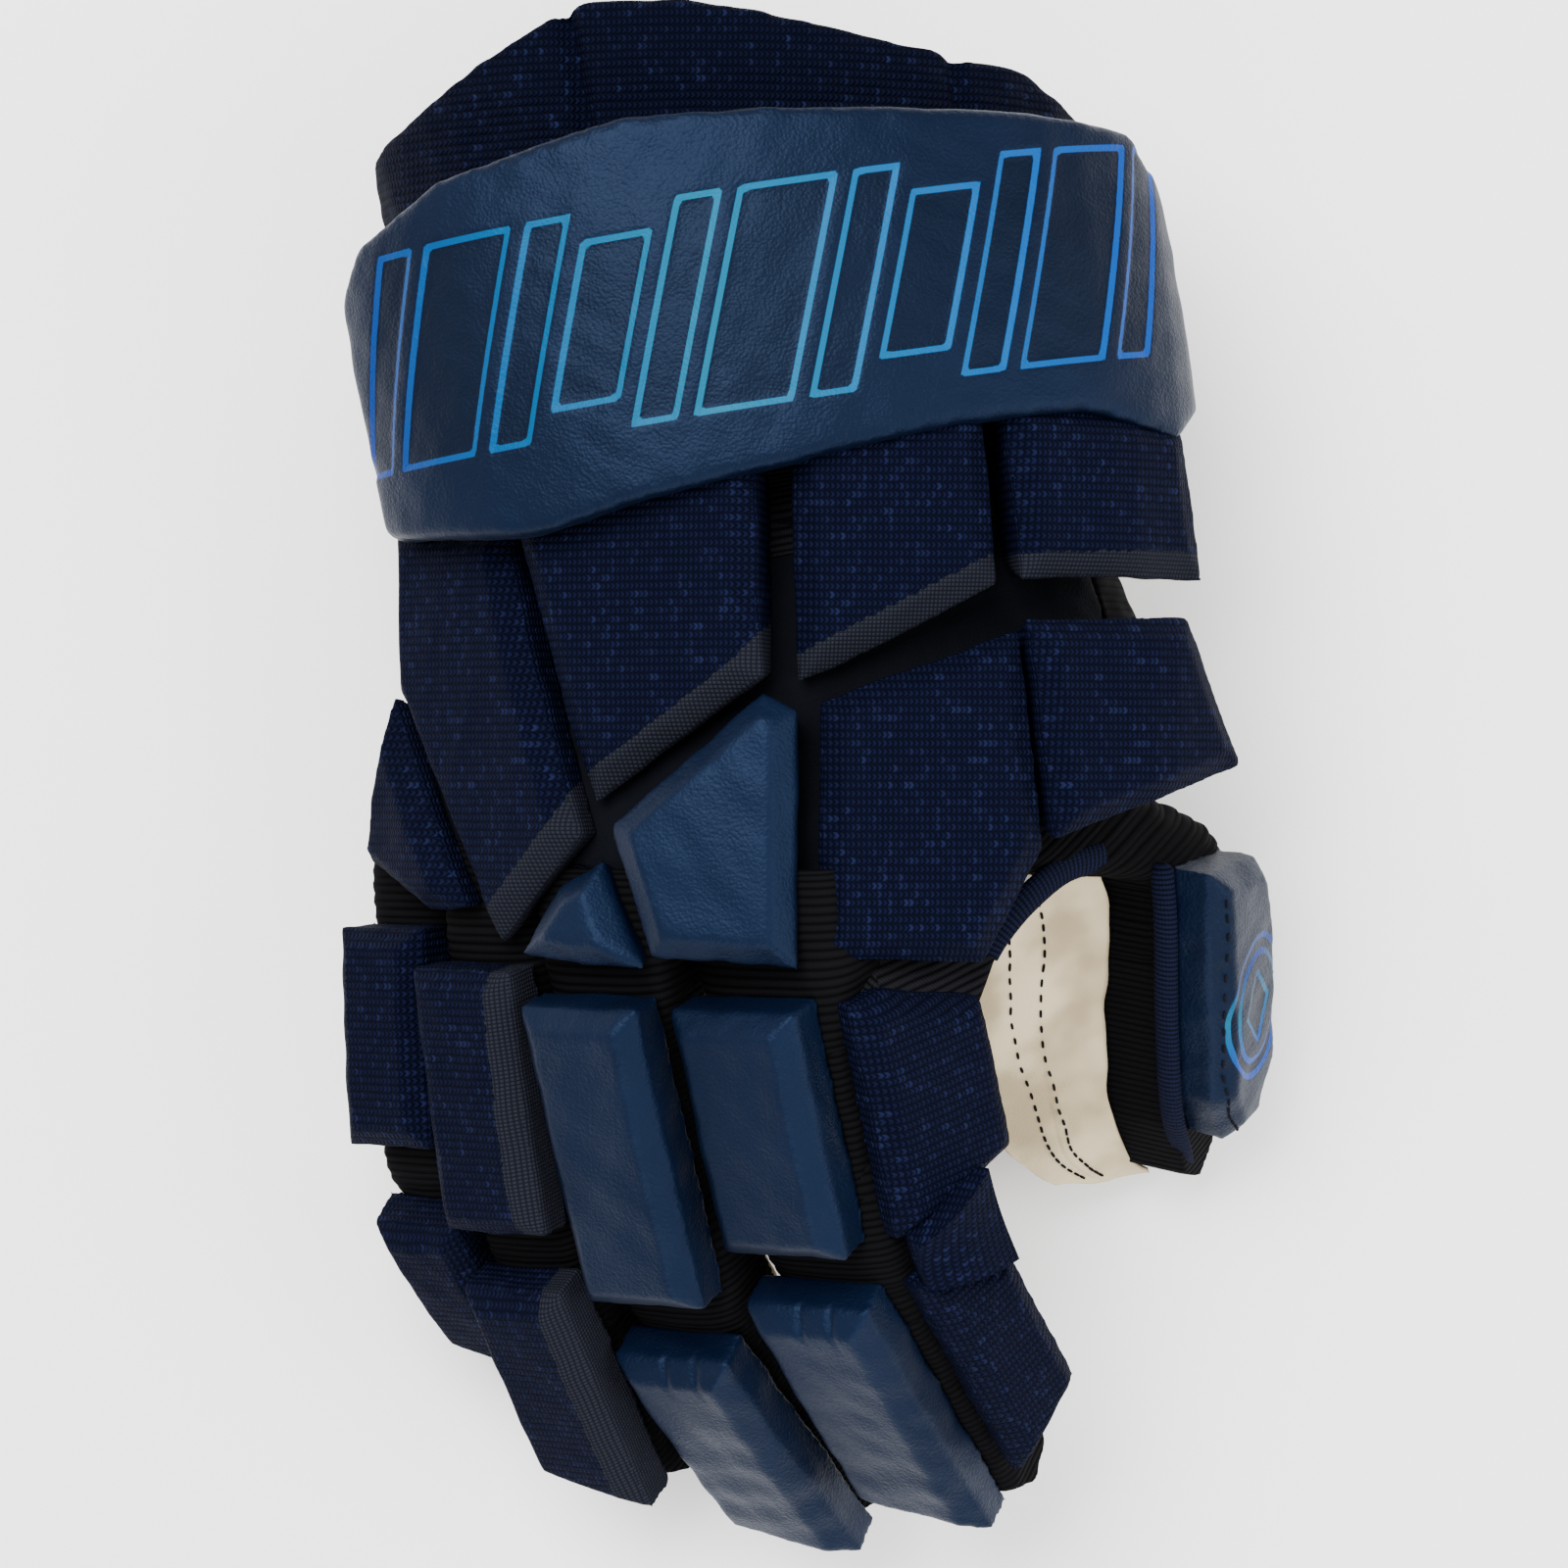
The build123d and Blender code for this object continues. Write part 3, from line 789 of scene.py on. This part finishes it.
for finger, (bends, lengths, reach) in fingers.items():
    knuckle = np.array(joints[finger + "_knuckle"]["pos_m"])
    along, out = finger_axes(bends[0])
    far_along, far_out = finger_axes(bends[1])
    middle = np.array(joints[finger + "_middle_joint"]["pos_m"])
    near, far = finger + "_proximal", finger + "_distal"
    low, high = reach
    is_leather = finger in ("index", "middle")
    material = pad_leather if is_leather else navy_knit
    slot = "navy_leather" if is_leather else "knit"
    for body, direction, way, start in ((near, along, out, knuckle), (far, far_along, far_out, middle)):
        step = (darts(start, way, direction) if body == far else None) if is_leather else no_trim
        if finger == "ring":
            def step(mesh, axes, start=start):
                points = points_of(mesh) - start
                add_value(mesh, "trim", ((points @ across_row) > 0.0085).astype(float))
        cushion(body + "_pad", body, material, way, -direction, puff=0.0009, shape=step)
    if finger == "index":
        cushion("index_side_proximal_pad", near, navy_knit, across_row, -along, puff=0.0009,
                shape=no_trim)
        cushion("index_side_distal_pad", far, navy_knit, across_row, -far_along, puff=0.0009,
                shape=no_trim)
        crease_lean = radians(25)  # the side pad looks this far towards the back of the finger
        grid = []
        for i in range(30):
            f = i / 29
            way_i, out_i = finger_axes(bends[0] + (bends[1] - bends[0]) * f)
            side = across_row * cos(crease_lean) + out_i * sin(crease_lean)
            down = -out_i * cos(crease_lean) + across_row * sin(crease_lean)
            line = []
            for k in range(26):
                depth = k / 25
                reach_back = 0.005 + 0.010 * depth
                start = middle - along * reach_back
                end = middle + far_along * (reach_back - 0.001)
                spread = start * (1 - f) + end * f
                bulge = 0.0012 * sin(pi * f) - 0.0022 * sin(pi * depth)
                line.append(spread + across_row * (high + 0.0046) + side * (0.0085 - bulge)
                            + down * (depth * 0.019 - 0.008))
            grid.append(line)
        mesh = slab(grid, 0.0085)
        weave_map(mesh, unit(along + far_along), -out, across_row)
        no_trim(mesh, None)
        obj = piece("index_side_crease", mesh, navy_knit,
                    (near, far, Vector(middle - along * 0.012), Vector(middle + far_along * 0.012)))
        side = across_row * cos(crease_lean) + out * sin(crease_lean)
        down = -out * cos(crease_lean) + across_row * sin(crease_lean)
        behind = smooth_path([at(6, -30, 109), at(22, -30, 106), at(38, -29, 100), at(50, -27, 91)], 24)
        grid = []
        for i in range(24):
            depth = i / 23
            front = (knuckle + across_row * (high + 0.0046) + side * 0.0055
                     + down * (depth * 0.028 - 0.007) + along * (0.011 + 0.008 * depth))
            sag = [0.0018 * sin(pi * k / 19) * (0.6 + 0.4 * sin(i * 0.8)) for k in range(20)]
            grid.append([behind[i] * (1 - k / 19) + front * (k / 19) - out * sag[k] for k in range(20)])
        mesh = slab(grid, 0.0016)
        weave_map(mesh, across_row, along, out)
        piece("index_side_gusset", mesh, black_rib,
              ("hand", near, Vector(behind[12]), Vector(knuckle + across_row * 0.028 + along * 0.014)))
    # sleeves
    for body, direction, way, start in ((near, along, out, knuckle), (far, far_along, far_out, middle)):
        mesh = remeshed(cad_shell(body + "_sleeve"), 0.0007 * (1), 4)
        points = points_of(mesh)
        set_points(mesh, points + normals_of(mesh) * (wobble(points, 0.01, len(body)) * 0.0003)[:, None])
        weave_map(mesh, across_row, direction, way)
        palm_value(mesh, way, start)
        obj = piece(body + "_cloth", mesh, sleeve_cloth, body, [body + "_sleeve"])
    # cloth across the knuckle and across the middle joint
    half = 0.0112
    loose = 1 if is_leather else 0.3
    flat_along, flat_out = finger_axes(bends[0] * 0.4)
    loops = finger_rings(low, high, (
        (knuckle - flat_along * 0.021, flat_out, 0.0040 * loose, half * 0.92),
        (knuckle - flat_along * 0.008, flat_out, 0.0048 * loose, half),
        (knuckle + along * 0.006, out, 0.0040 * loose, half),
        (knuckle + along * 0.020, out, 0.0006, half * 0.985),
    ))
    mesh, count, steps = tube(loops, 0.0012, 40, 0.0004, 3)
    lay_rings(mesh, count, steps, 0.04, 0.085)
    palm_value(mesh, out, knuckle)
    piece(finger + "_knuckle_cloth", mesh, sleeve_cloth,
          ("hand", near, Vector(knuckle - flat_along * 0.016), Vector(knuckle + along * 0.014)))
    mid_along, mid_out = finger_axes((bends[0] + bends[1]) / 2)
    loops = finger_rings(low, high, (
        (middle - along * 0.024, out, 0.0006, half * 0.985),
        (middle - along * 0.010, out, 0.0022 * loose, half * 1.01),
        (middle, mid_out, 0.0034 * loose, half * 1.02),
        (middle + far_along * 0.010, far_out, 0.0022 * loose, half * 1.01),
        (middle + far_along * 0.024, far_out, 0.0006, half * 0.985),
    ))
    mesh, count, steps = tube(loops, 0.0012, 48, 0.0004, 5)
    lay_rings(mesh, count, steps, 0.048, 0.085)
    palm_value(mesh, mid_out, middle)
    piece(finger + "_crease_cloth", mesh, sleeve_cloth,
          (near, far, Vector(middle - along * 0.014), Vector(middle + far_along * 0.014)))

# ---- hand shell, palm and lining ------------------------------------------------------------
STRAIGHT = tuple(np.eye(3))  # cloth laid along the row frame's own axes

for node, material, slot, size in (("backhand_shell", backing_cloth, "backing", 0.0010),
                                   ("palm_panel", sleeve_cloth, "suede", 0.0008)):
    mesh = remeshed(cad_shell(node), size, 4)
    points = points_of(mesh)
    set_points(mesh, points + normals_of(mesh)
               * (wobble(points, 0.02, 5) * 0.0005 + wobble(points, 0.007, 6) * 0.0002)[:, None])
    weave_map(mesh, *STRAIGHT)
    points = points_of(mesh) / MM
    add_value(mesh, "palm", np.clip((46 + 0.12 * np.abs(points[:, 0]) * -1 - points[:, 2]) / 2 + 0.5, 0, 1))
    hidden = ["backhand_foam_cores", "backhand_sheets"] if node == "backhand_shell" else []
    piece("soft_" + node, mesh, material, "hand", [node] + hidden)
for node, material, slot, body, voxel in (
    ("cuff_liner", lining_cloth, "lining", "cuff", 0.0011),
    ("cuff_binding", tape_cloth, "binding", "cuff", 0.0009),
    ("knuckle_binding", tape_cloth, "binding", "hand", 0.0007),
    ("web_binding", tape_cloth, "binding", "hand", 0.0007),
):
    mesh = remeshed(cad_shell(node), voxel * (1), 4)
    points = points_of(mesh)
    way = np.array([cos(radians(10)), sin(radians(10)), 0])
    back = np.array([-sin(radians(10)), cos(radians(10)), 0])
    folds = wobble(points, 0.019, 8) * 0.0006 + wobble(points, 0.006, 9) * 0.0002
    pulls = 0.00035 * np.sin((points @ back) / 0.0016) * (node == "cuff_liner")
    middle = np.array([0, 0, 0.045])
    side = points - np.outer(points @ back, back) - middle
    side /= np.linalg.norm(side, axis=1)[:, None]
    set_points(mesh, points - side * (np.abs(folds) + np.abs(pulls))[:, None])
    if node == "cuff_binding":
        points = points_of(mesh)
        set_points(mesh, points + normals_of(mesh) * 0.0007 - back * 0.0016)
    weave_map(mesh, way, back, np.array([0, 0, 1.0]))
    piece("cloth_" + node, mesh, material, body, [node])

bm = bmesh.new()
bm.from_mesh(frame["nodes"]["hand_liner"].data)
bmesh.ops.remove_doubles(bm, verts=bm.verts, dist=1e-6)
for _ in range(5):
    long = [edge for edge in bm.edges if edge.calc_length() > 0.004]
    if long:
        bmesh.ops.subdivide_edges(bm, edges=long, cuts=1)
        bmesh.ops.triangulate(bm, faces=[face for face in bm.faces if len(face.verts) > 4])
mesh = bpy.data.meshes.new("lining")
bm.to_mesh(mesh)
bm.free()
points = points_of(mesh)
ruffle = np.stack([wobble(points, 0.014, 41 + k) for k in range(3)], axis=1)
set_points(mesh, points + ruffle * 0.00035)
weave_map(mesh, *STRAIGHT)
piece("soft_lining", mesh, lining_cloth, "hand", ["hand_liner"])

# ---- ropes, stitches ------------------------------------------------------------------------
def rope(path, wide, thick, up, around=14, count=60):
    """A flattened cord along a path, with closed ends."""
    line = smooth_path(path, count)
    verts, faces, uv = [], [], []
    length = 0
    for i, point in enumerate(line):
        way = unit(line[min(i + 1, count - 1)] - line[max(i - 1, 0)])
        side = unit(np.cross(way, up))
        lift = np.cross(side, way)
        length += np.linalg.norm(point - line[max(i - 1, 0)])
        taper = min(1, 0.35 + min(i, count - 1 - i) * 0.33)
        for c in range(around):
            a = 2 * pi * c / around
            verts.append(point + side * cos(a) * wide / 2 * taper + lift * sin(a) * thick / 2 * taper)
            uv.append((c / around * (wide + thick) * 1.6, length))
    for i in range(count - 1):
        for c in range(around):
            d = (c + 1) % around
            faces.append((i * around + c, i * around + d, (i + 1) * around + d, (i + 1) * around + c))
    faces.append(tuple(range(around))[::-1])
    faces.append(tuple((count - 1) * around + c for c in range(around)))
    mesh = closed_mesh("rope", verts, faces)
    loops = np.empty(len(mesh.loops), int)
    mesh.loops.foreach_get("vertex_index", loops)
    mesh.uv_layers.new(name="weave").uv.foreach_set("vector", np.array(uv)[loops].ravel())
    return mesh


def stitches(name, body, path, toward, on, material, pitch=0.0034, size=(0.0021, 0.00034), sink=0.0001):
    """A row of thread stitches on a piece: the path is thrown onto it in the direction toward."""
    tree = surface(on)
    count = max(int(np.sum(np.linalg.norm(np.diff(np.array(path, float), axis=0), axis=1)) / pitch), 3)
    line = smooth_path(path, count)
    toward = Vector(toward).normalized()
    hits = []
    for point in line:
        place, normal, _, _ = tree.ray_cast(Vector(point) - toward * 0.03, toward, 0.06)
        hits.append((place, normal))
    verts, faces = [], []
    length, radius = size
    for i in range(count - 1):
        (here, up), (there, _) = hits[i], hits[i + 1]
        if here is None or there is None or (there - here).length > pitch * 2.2:
            continue
        centre = (here + there) / 2
        way = (there - here).normalized()
        side = way.cross(up).normalized()
        centre = centre + up * (radius - sink)
        base = len(verts)
        for shift, fat in ((-0.5, 0.35), (-0.36, 0.95), (0.0, 1.05), (0.36, 0.95), (0.5, 0.35)):
            for c in range(6):
                a = 2 * pi * c / 6
                verts.append(centre + way * shift * length + side * cos(a) * radius * fat
                             + up * sin(a) * radius * fat)
        for r in range(4):
            for c in range(6):
                d = (c + 1) % 6
                faces.append((base + r * 6 + c, base + r * 6 + d, base + r * 6 + 6 + d,
                              base + r * 6 + 6 + c))
        faces.append(tuple(base + c for c in range(6))[::-1])
        faces.append(tuple(base + 24 + c for c in range(6)))
    if not faces:
        return None
    return piece(name, closed_mesh(name, verts, faces), material, body)


# ---- thumb ----------------------------------------------------------------------------------
thumb_root = np.array(joints["thumb_joint"]["pos_m"])
thumb_side = unit(joints["thumb_joint"]["axis"])
thumb_ahead = unit((0.06, -0.88, -0.47))
thumb_out = unit(np.cross(thumb_ahead, thumb_side))


def thumb_at(s, t, w):
    """A place on the thumb, in millimetres along it, down its side and out of its back."""
    return thumb_root + (thumb_ahead * s + thumb_side * t + thumb_out * w) * MM


def thumb_mark(mesh, axes):
    """A plain ring round a diamond, pressed into the thumb pad."""
    local = (points_of(mesh) - thumb_root) / MM
    s, t = local @ thumb_ahead, local @ thumb_side
    r = np.hypot((s - 37) * 0.86, t * 1.15)
    ring = np.abs(r - 13.6) - 1.7
    diamond = (np.abs(s - 37) * 0.7 + np.abs(t)) - 6.5
    distance = np.minimum(ring, diamond)
    distance = np.where(normals_of(mesh) @ thumb_out > 0.3, distance, 10)
    add_value(mesh, "mark", distance)
    add_value(mesh, "run", np.clip((s - 24) / 24, 0, 1))
    press = np.clip(0.5 - distance, 0, 1) * 0.0003
    set_points(mesh, points_of(mesh) - np.outer(press, thumb_out))


thumb_pad = cushion("thumb_pad", "thumb", band_leather, thumb_out, -thumb_ahead,
                    puff=0.0012, shape=thumb_mark)
cushion("thumb_palm", "thumb", palm_suede, -thumb_out, -thumb_ahead, voxel=0.0007, puff=0.0003,
        rounds=4)
mesh = remeshed(cad_shell("thumb_sleeve"), 0.0008, 4)
weave_map(mesh, thumb_side, thumb_ahead, thumb_out)
palm_value(mesh, thumb_out, thumb_root, -0.009)
piece("thumb_cloth", mesh, sleeve_cloth, "thumb", ["thumb_sleeve"])

opening_out = unit((0.2, 0.1, 0.95))
opening_side = unit((0.6, 0.65, -0.3))
loops = [
    ring_loop(at(44, -8, 80), opening_side, opening_out, -0.017, 0.017, 0.016),
    ring_loop(at(60, -10, 74), unit(opening_side + thumb_side), unit(opening_out + thumb_out * 0.6), -0.017,
              0.017, 0.0155),
    ring_loop(thumb_at(2, 0, 0), thumb_side, thumb_out, -0.0145, 0.0145, 0.0138),
    ring_loop(thumb_at(22, 0, 0), thumb_side, thumb_out, -0.0156, 0.0156, 0.0132),
]
mesh, count, steps = tube(loops, 0.0014, 60, 0.0008, 9)
lay_rings(mesh, count, steps, 0.07, 0.1)
palm_value(mesh, thumb_out, thumb_root, -0.009)
piece("thumb_crotch_cloth", mesh, sleeve_cloth,
      ("hand", "thumb", Vector(at(54, -9, 77)), Vector(thumb_at(14, 0, 0))))

# the suede web between thumb and palm: a panel with rolled seams
rows, columns = 60, 36
left = smooth_path([at(36, -30, 88), at(38, -46, 79), at(43, -68, 58), at(52, -86, 38),
                    at(64, -95, 25)], rows)
right = smooth_path([at(70, -15, 78), thumb_at(10, -17, -2), thumb_at(36, -17.5, -4),
                     thumb_at(62, -16.5, -3), thumb_at(80, -9, -2), thumb_at(88, -2, 0)], rows)
grid = []
for r in range(rows):
    line = []
    for c in range(columns):
        f = c / (columns - 1)
        sag = 0.0035 * sin(pi * f) * (0.6 + 0.4 * sin(r * 0.22))
        seam = 0.0011 * np.exp(-(((f - 0.55 - 0.05 * sin(r * 0.1)) * (columns - 1)) / 1.1) ** 2)
        line.append(left[r] * (1 - f) + right[r] * f + np.array([-0.5, 0.0, 0.85]) * (seam - sag))
    grid.append(line)
mesh = slab(grid, 0.0018)
points = points_of(mesh)
set_points(mesh, points + normals_of(mesh) * (wobble(points, 0.016, 31) * 0.0005)[:, None])
weave_map(mesh, *STRAIGHT)
web_bodies = ("hand", "thumb", Vector(left[22]), Vector(right[22]))
web = piece("thumb_web", mesh, palm_suede, web_bodies)

# bindings: round the crotch of the thumb, and between the thumb pad and its gusset
arc = [at(44, -38, 98), at(47, -33, 98.5), at(53, -26, 97), at(62, -19, 91), at(72, -16, 84)]
piece("crotch_binding", rope(arc, 0.007, 0.0035, (0.3, -0.3, 0.9)), tape_cloth, "hand")
edge = [thumb_at(-6, -16, 11), thumb_at(8, -17.5, 12.5), thumb_at(34, -18, 12.5), thumb_at(58, -16.5, 12.5),
        thumb_at(76, -8, 11), thumb_at(84, 0, 8)]
piece("thumb_binding", rope(edge, 0.0058, 0.0035, -thumb_side), tape_cloth, "thumb")

# ---- cuff -----------------------------------------------------------------------------------
TURN = radians(10)
cuff_across = np.array([cos(TURN), sin(TURN), 0])
cuff_back = np.array([-sin(TURN), cos(TURN), 0])
cuff_up = np.array([0, 0, 1.0])
cuff_root = at(0, 74, 0)


def cuff_places(mesh):
    local = (points_of(mesh) - cuff_root) / MM
    return local @ cuff_across, local @ cuff_back, local @ cuff_up


ARCH_WIDE, ARCH_RISE, ARCH_FOOT = 93, 52, 76  # half width, rise and foot height of the cuff's arch


def round_the_arch(x):
    """Distance round the cuff's arch from its crest, for each place across it."""
    table = np.linspace(-0.995, 0.995, 400)
    slope = ARCH_RISE / ARCH_WIDE * table / np.sqrt(1 - table**2)
    run = np.cumsum(np.sqrt(1 + slope**2)) * (table[1] - table[0]) * ARCH_WIDE
    return np.interp(x / ARCH_WIDE, table, run - run[len(table) // 2])


BAND_MIDDLE = 31  # the band's middle line behind the cuff's front edge, in millimetres
FIRST_BLOCK, BLOCK_GAP = -94.0, 5.6  # where the row of pressed blocks starts, and the gap in it
BLOCKS = (4.2, 23.0), (9.5, 23.0), (4.2, 23.0), (6.8, 17.0)  # half width and half height of each


def band_shape(mesh, axes):
    """Crowns the band between its edges and presses a row of slanted blocks into it."""
    x, y, z = cuff_places(mesh)
    forward = np.clip((6 - y) / 14, 0, 1) * np.clip((-30 - x) / 30, 0, 1) * 0.0035
    set_points(mesh, points_of(mesh) - np.outer(forward, cuff_back))
    radial = np.stack([x / ARCH_WIDE**2, np.zeros_like(x), (z - ARCH_FOOT) / ARCH_RISE**2], axis=1)
    radial /= np.linalg.norm(radial, axis=1)[:, None]
    out = radial[:, :1] * cuff_across + radial[:, 2:] * cuff_up
    facing = np.einsum("ij,ij->i", normals_of(mesh), out)
    run = round_the_arch(x)
    middle = BAND_MIDDLE - run * 0.02
    slanted = run - (y - middle) * 0.38
    distance = np.full(len(x), 10.0)
    start = FIRST_BLOCK
    for i in range(11):
        wide, tall = BLOCKS[i % len(BLOCKS)]
        centre = start + wide
        start += 2 * wide + BLOCK_GAP
        dx = np.abs(slanted - centre) * 0.94 - wide
        dy = np.abs(y - middle) - tall
        distance = np.minimum(distance, np.maximum(dx, dy))
    distance = np.where(facing > 0.35, distance, 10)
    add_value(mesh, "mark", distance)
    add_value(mesh, "run", np.clip(run / 200 + 0.5, 0, 1))
    crown = np.clip(1 - ((y - BAND_MIDDLE) / 40) ** 2, 0, 1) * np.clip(facing, 0, 1) * 0.0012
    press = np.clip((0.6 - distance) / 1.2, 0, 1) * 0.0006
    set_points(mesh, points_of(mesh) + out * (crown - press)[:, None])


def extension_shape(mesh, axes):
    """A deep fold down the padded cloth behind the band."""
    x, _, z = cuff_places(mesh)
    fold = np.exp(-(((x + 31) / 2.2) ** 2)) * 0.0028 + np.exp(-(((x - 52) / 2.0) ** 2)) * 0.0016
    swell = 0.0008 * np.cos(x / 17)
    set_points(mesh, points_of(mesh)
               - normals_of(mesh) * (fold - swell)[:, None] * np.clip(z[:, None] / 60 - 0.6, 0, 1))
    add_value(mesh, "trim", np.zeros(len(x)))


cushion("cuff_band", "cuff", band_leather, voxel=0.0013, rounds=9, puff=0, crumple=0.0003,
        shape=band_shape)
cushion("cuff_extension", "cuff", dark_knit, voxel=0.0013, rounds=9, puff=0, crumple=0.0006,
        shape=extension_shape)


def polar_loop(points, count=64):
    """A loop through (x, z) points, laid out evenly by angle about its middle."""
    points = np.array(points, float)
    n = len(points)
    fine = []
    for i in range(n):
        corners = points[i - 1], points[i], points[(i + 1) % n], points[(i + 2) % n]
        fine += [between(*corners, k / 20) for k in range(20)]
    fine = np.array(fine)
    middle = fine.mean(axis=0)
    rel = fine - middle
    angle = np.arctan2(rel[:, 1], rel[:, 0])
    order = np.argsort(angle)
    want = np.linspace(-pi, pi, count, endpoint=False)
    radius = np.interp(want, angle[order], np.hypot(rel[:, 0], rel[:, 1])[order], period=2 * pi)
    return middle[0] + np.cos(want) * radius, middle[1] + np.sin(want) * radius


def wrist_ring(points, y, grow):
    """A ring round the wrist, grown by some millimetres, at a distance along the arm."""
    x, z = polar_loop(points)
    cx, cz = x.mean(), z.mean()
    length = np.hypot(x - cx, z - cz)
    x, z = cx + (x - cx) * (1 + grow / length), cz + (z - cz) * (1 + grow / length)
    return np.array([at(a, y + a * sin(TURN), b) for a, b in zip(x, z)])


LINER_MIDDLE = 47.6  # height of the cuff opening's middle, in millimetres
LINER_GAP = 0.0022  # how far the wrist cloth stays inside the cuff's lining
# the wrist's outline, and where the hand fills it out, as (x, z) in millimetres
wrist = [(-58, 56), (-44, 36), (2, 30), (46, 36), (60, 58), (50, 84), (4, 99), (-34, 91), (-54, 74)]
fuller = [(-66, 53), (-48, 33), (1, 29), (49, 34), (67, 58), (54, 87), (5, 103), (-37, 94), (-60, 73)]


def inside_liner(y):
    """A ring just inside the cuff's lining, at a distance along the arm."""
    tree = surface(frame["nodes"]["cuff_liner"])
    centre = at(0, y, LINER_MIDDLE)
    ring = []
    for angle in np.linspace(-pi, pi, 64, endpoint=False):
        way = cuff_across * cos(angle) + cuff_up * sin(angle)
        _, _, _, reach = tree.ray_cast(Vector(centre), Vector(way), 0.2)
        ring.append(centre + way * (reach - LINER_GAP))
    return np.array(ring)


loops = [wrist_ring(fuller, 50, 0.8), wrist_ring(wrist, 63, 1.5), wrist_ring(wrist, 71, 3.0),
         inside_liner(84), inside_liner(98)]
mesh, count, steps = tube(loops, 0.0014, 60, 0.0008, 21)
lay_rings(mesh, count, steps, 0.05, 0.36)
piece("wrist_cloth", mesh, black_rib, ("hand", "cuff", Vector(at(0, 62, 70)), Vector(at(0, 90, 70))))

# ---- stitching ------------------------------------------------------------------------------
for name, share in (("web_stitches", 0.58), ("web_back_stitches", 0.38)):
    web_line = [left[r] * (1 - share) + right[r] * share for r in range(3, 58, 6)]
    stitches(name, web_bodies, web_line, (0.5, 0, -0.85), web, thread_finish)
pad_edge = [thumb_at(s, t, 30) for s, t in (
    (2, -12.5), (30, -14), (55, -13), (68, -6), (69, 4), (57, 12.5), (22, 13.5))]
stitches("thumb_stitches", "thumb", pad_edge, -thumb_out, thumb_pad, thread_finish)

# ---- stage ----------------------------------------------------------------------------------
bpy.ops.mesh.primitive_plane_add(size=6)
floor = bpy.context.object
floor.name = "floor"
paper = Finish("floor_paper")
paper.colour((0.93, 0.93, 0.93))
paper.rough(0.7)
floor.data.materials.append(paper.material)
floor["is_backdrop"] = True

world = bpy.data.worlds.new("studio")
bpy.context.scene.world = world
world.use_nodes = True
world.node_tree.nodes["Background"].inputs[0].default_value = (1, 1, 1, 1)
world.node_tree.nodes["Background"].inputs[1].default_value = 1.1
for name, place, size, power in (
    ("key", (-0.35, 0.45, 1.1), 0.7, 34), ("fill", (0.9, -0.2, 0.8), 0.9, 15),
    ("front", (0.0, -1.0, 0.7), 0.9, 13),
):
    lamp = bpy.data.lights.new(name, "AREA")
    lamp.size = size
    lamp.energy = power
    holder = bpy.data.objects.new(name, lamp)
    holder.location = place
    holder.rotation_euler = (Vector((0, 0, 0.05)) - Vector(place)).to_track_quat("-Z", "Y").to_euler()
    bpy.context.scene.collection.objects.link(holder)
    holder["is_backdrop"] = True

camera = bpy.data.cameras.new("camera")
camera.lens = 100
eye = bpy.data.objects.new("camera", camera)
eye.location = (sx * MM, sy * MM, 1.055)
bpy.context.scene.collection.objects.link(eye)
bpy.context.scene.camera = eye

low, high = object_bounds()
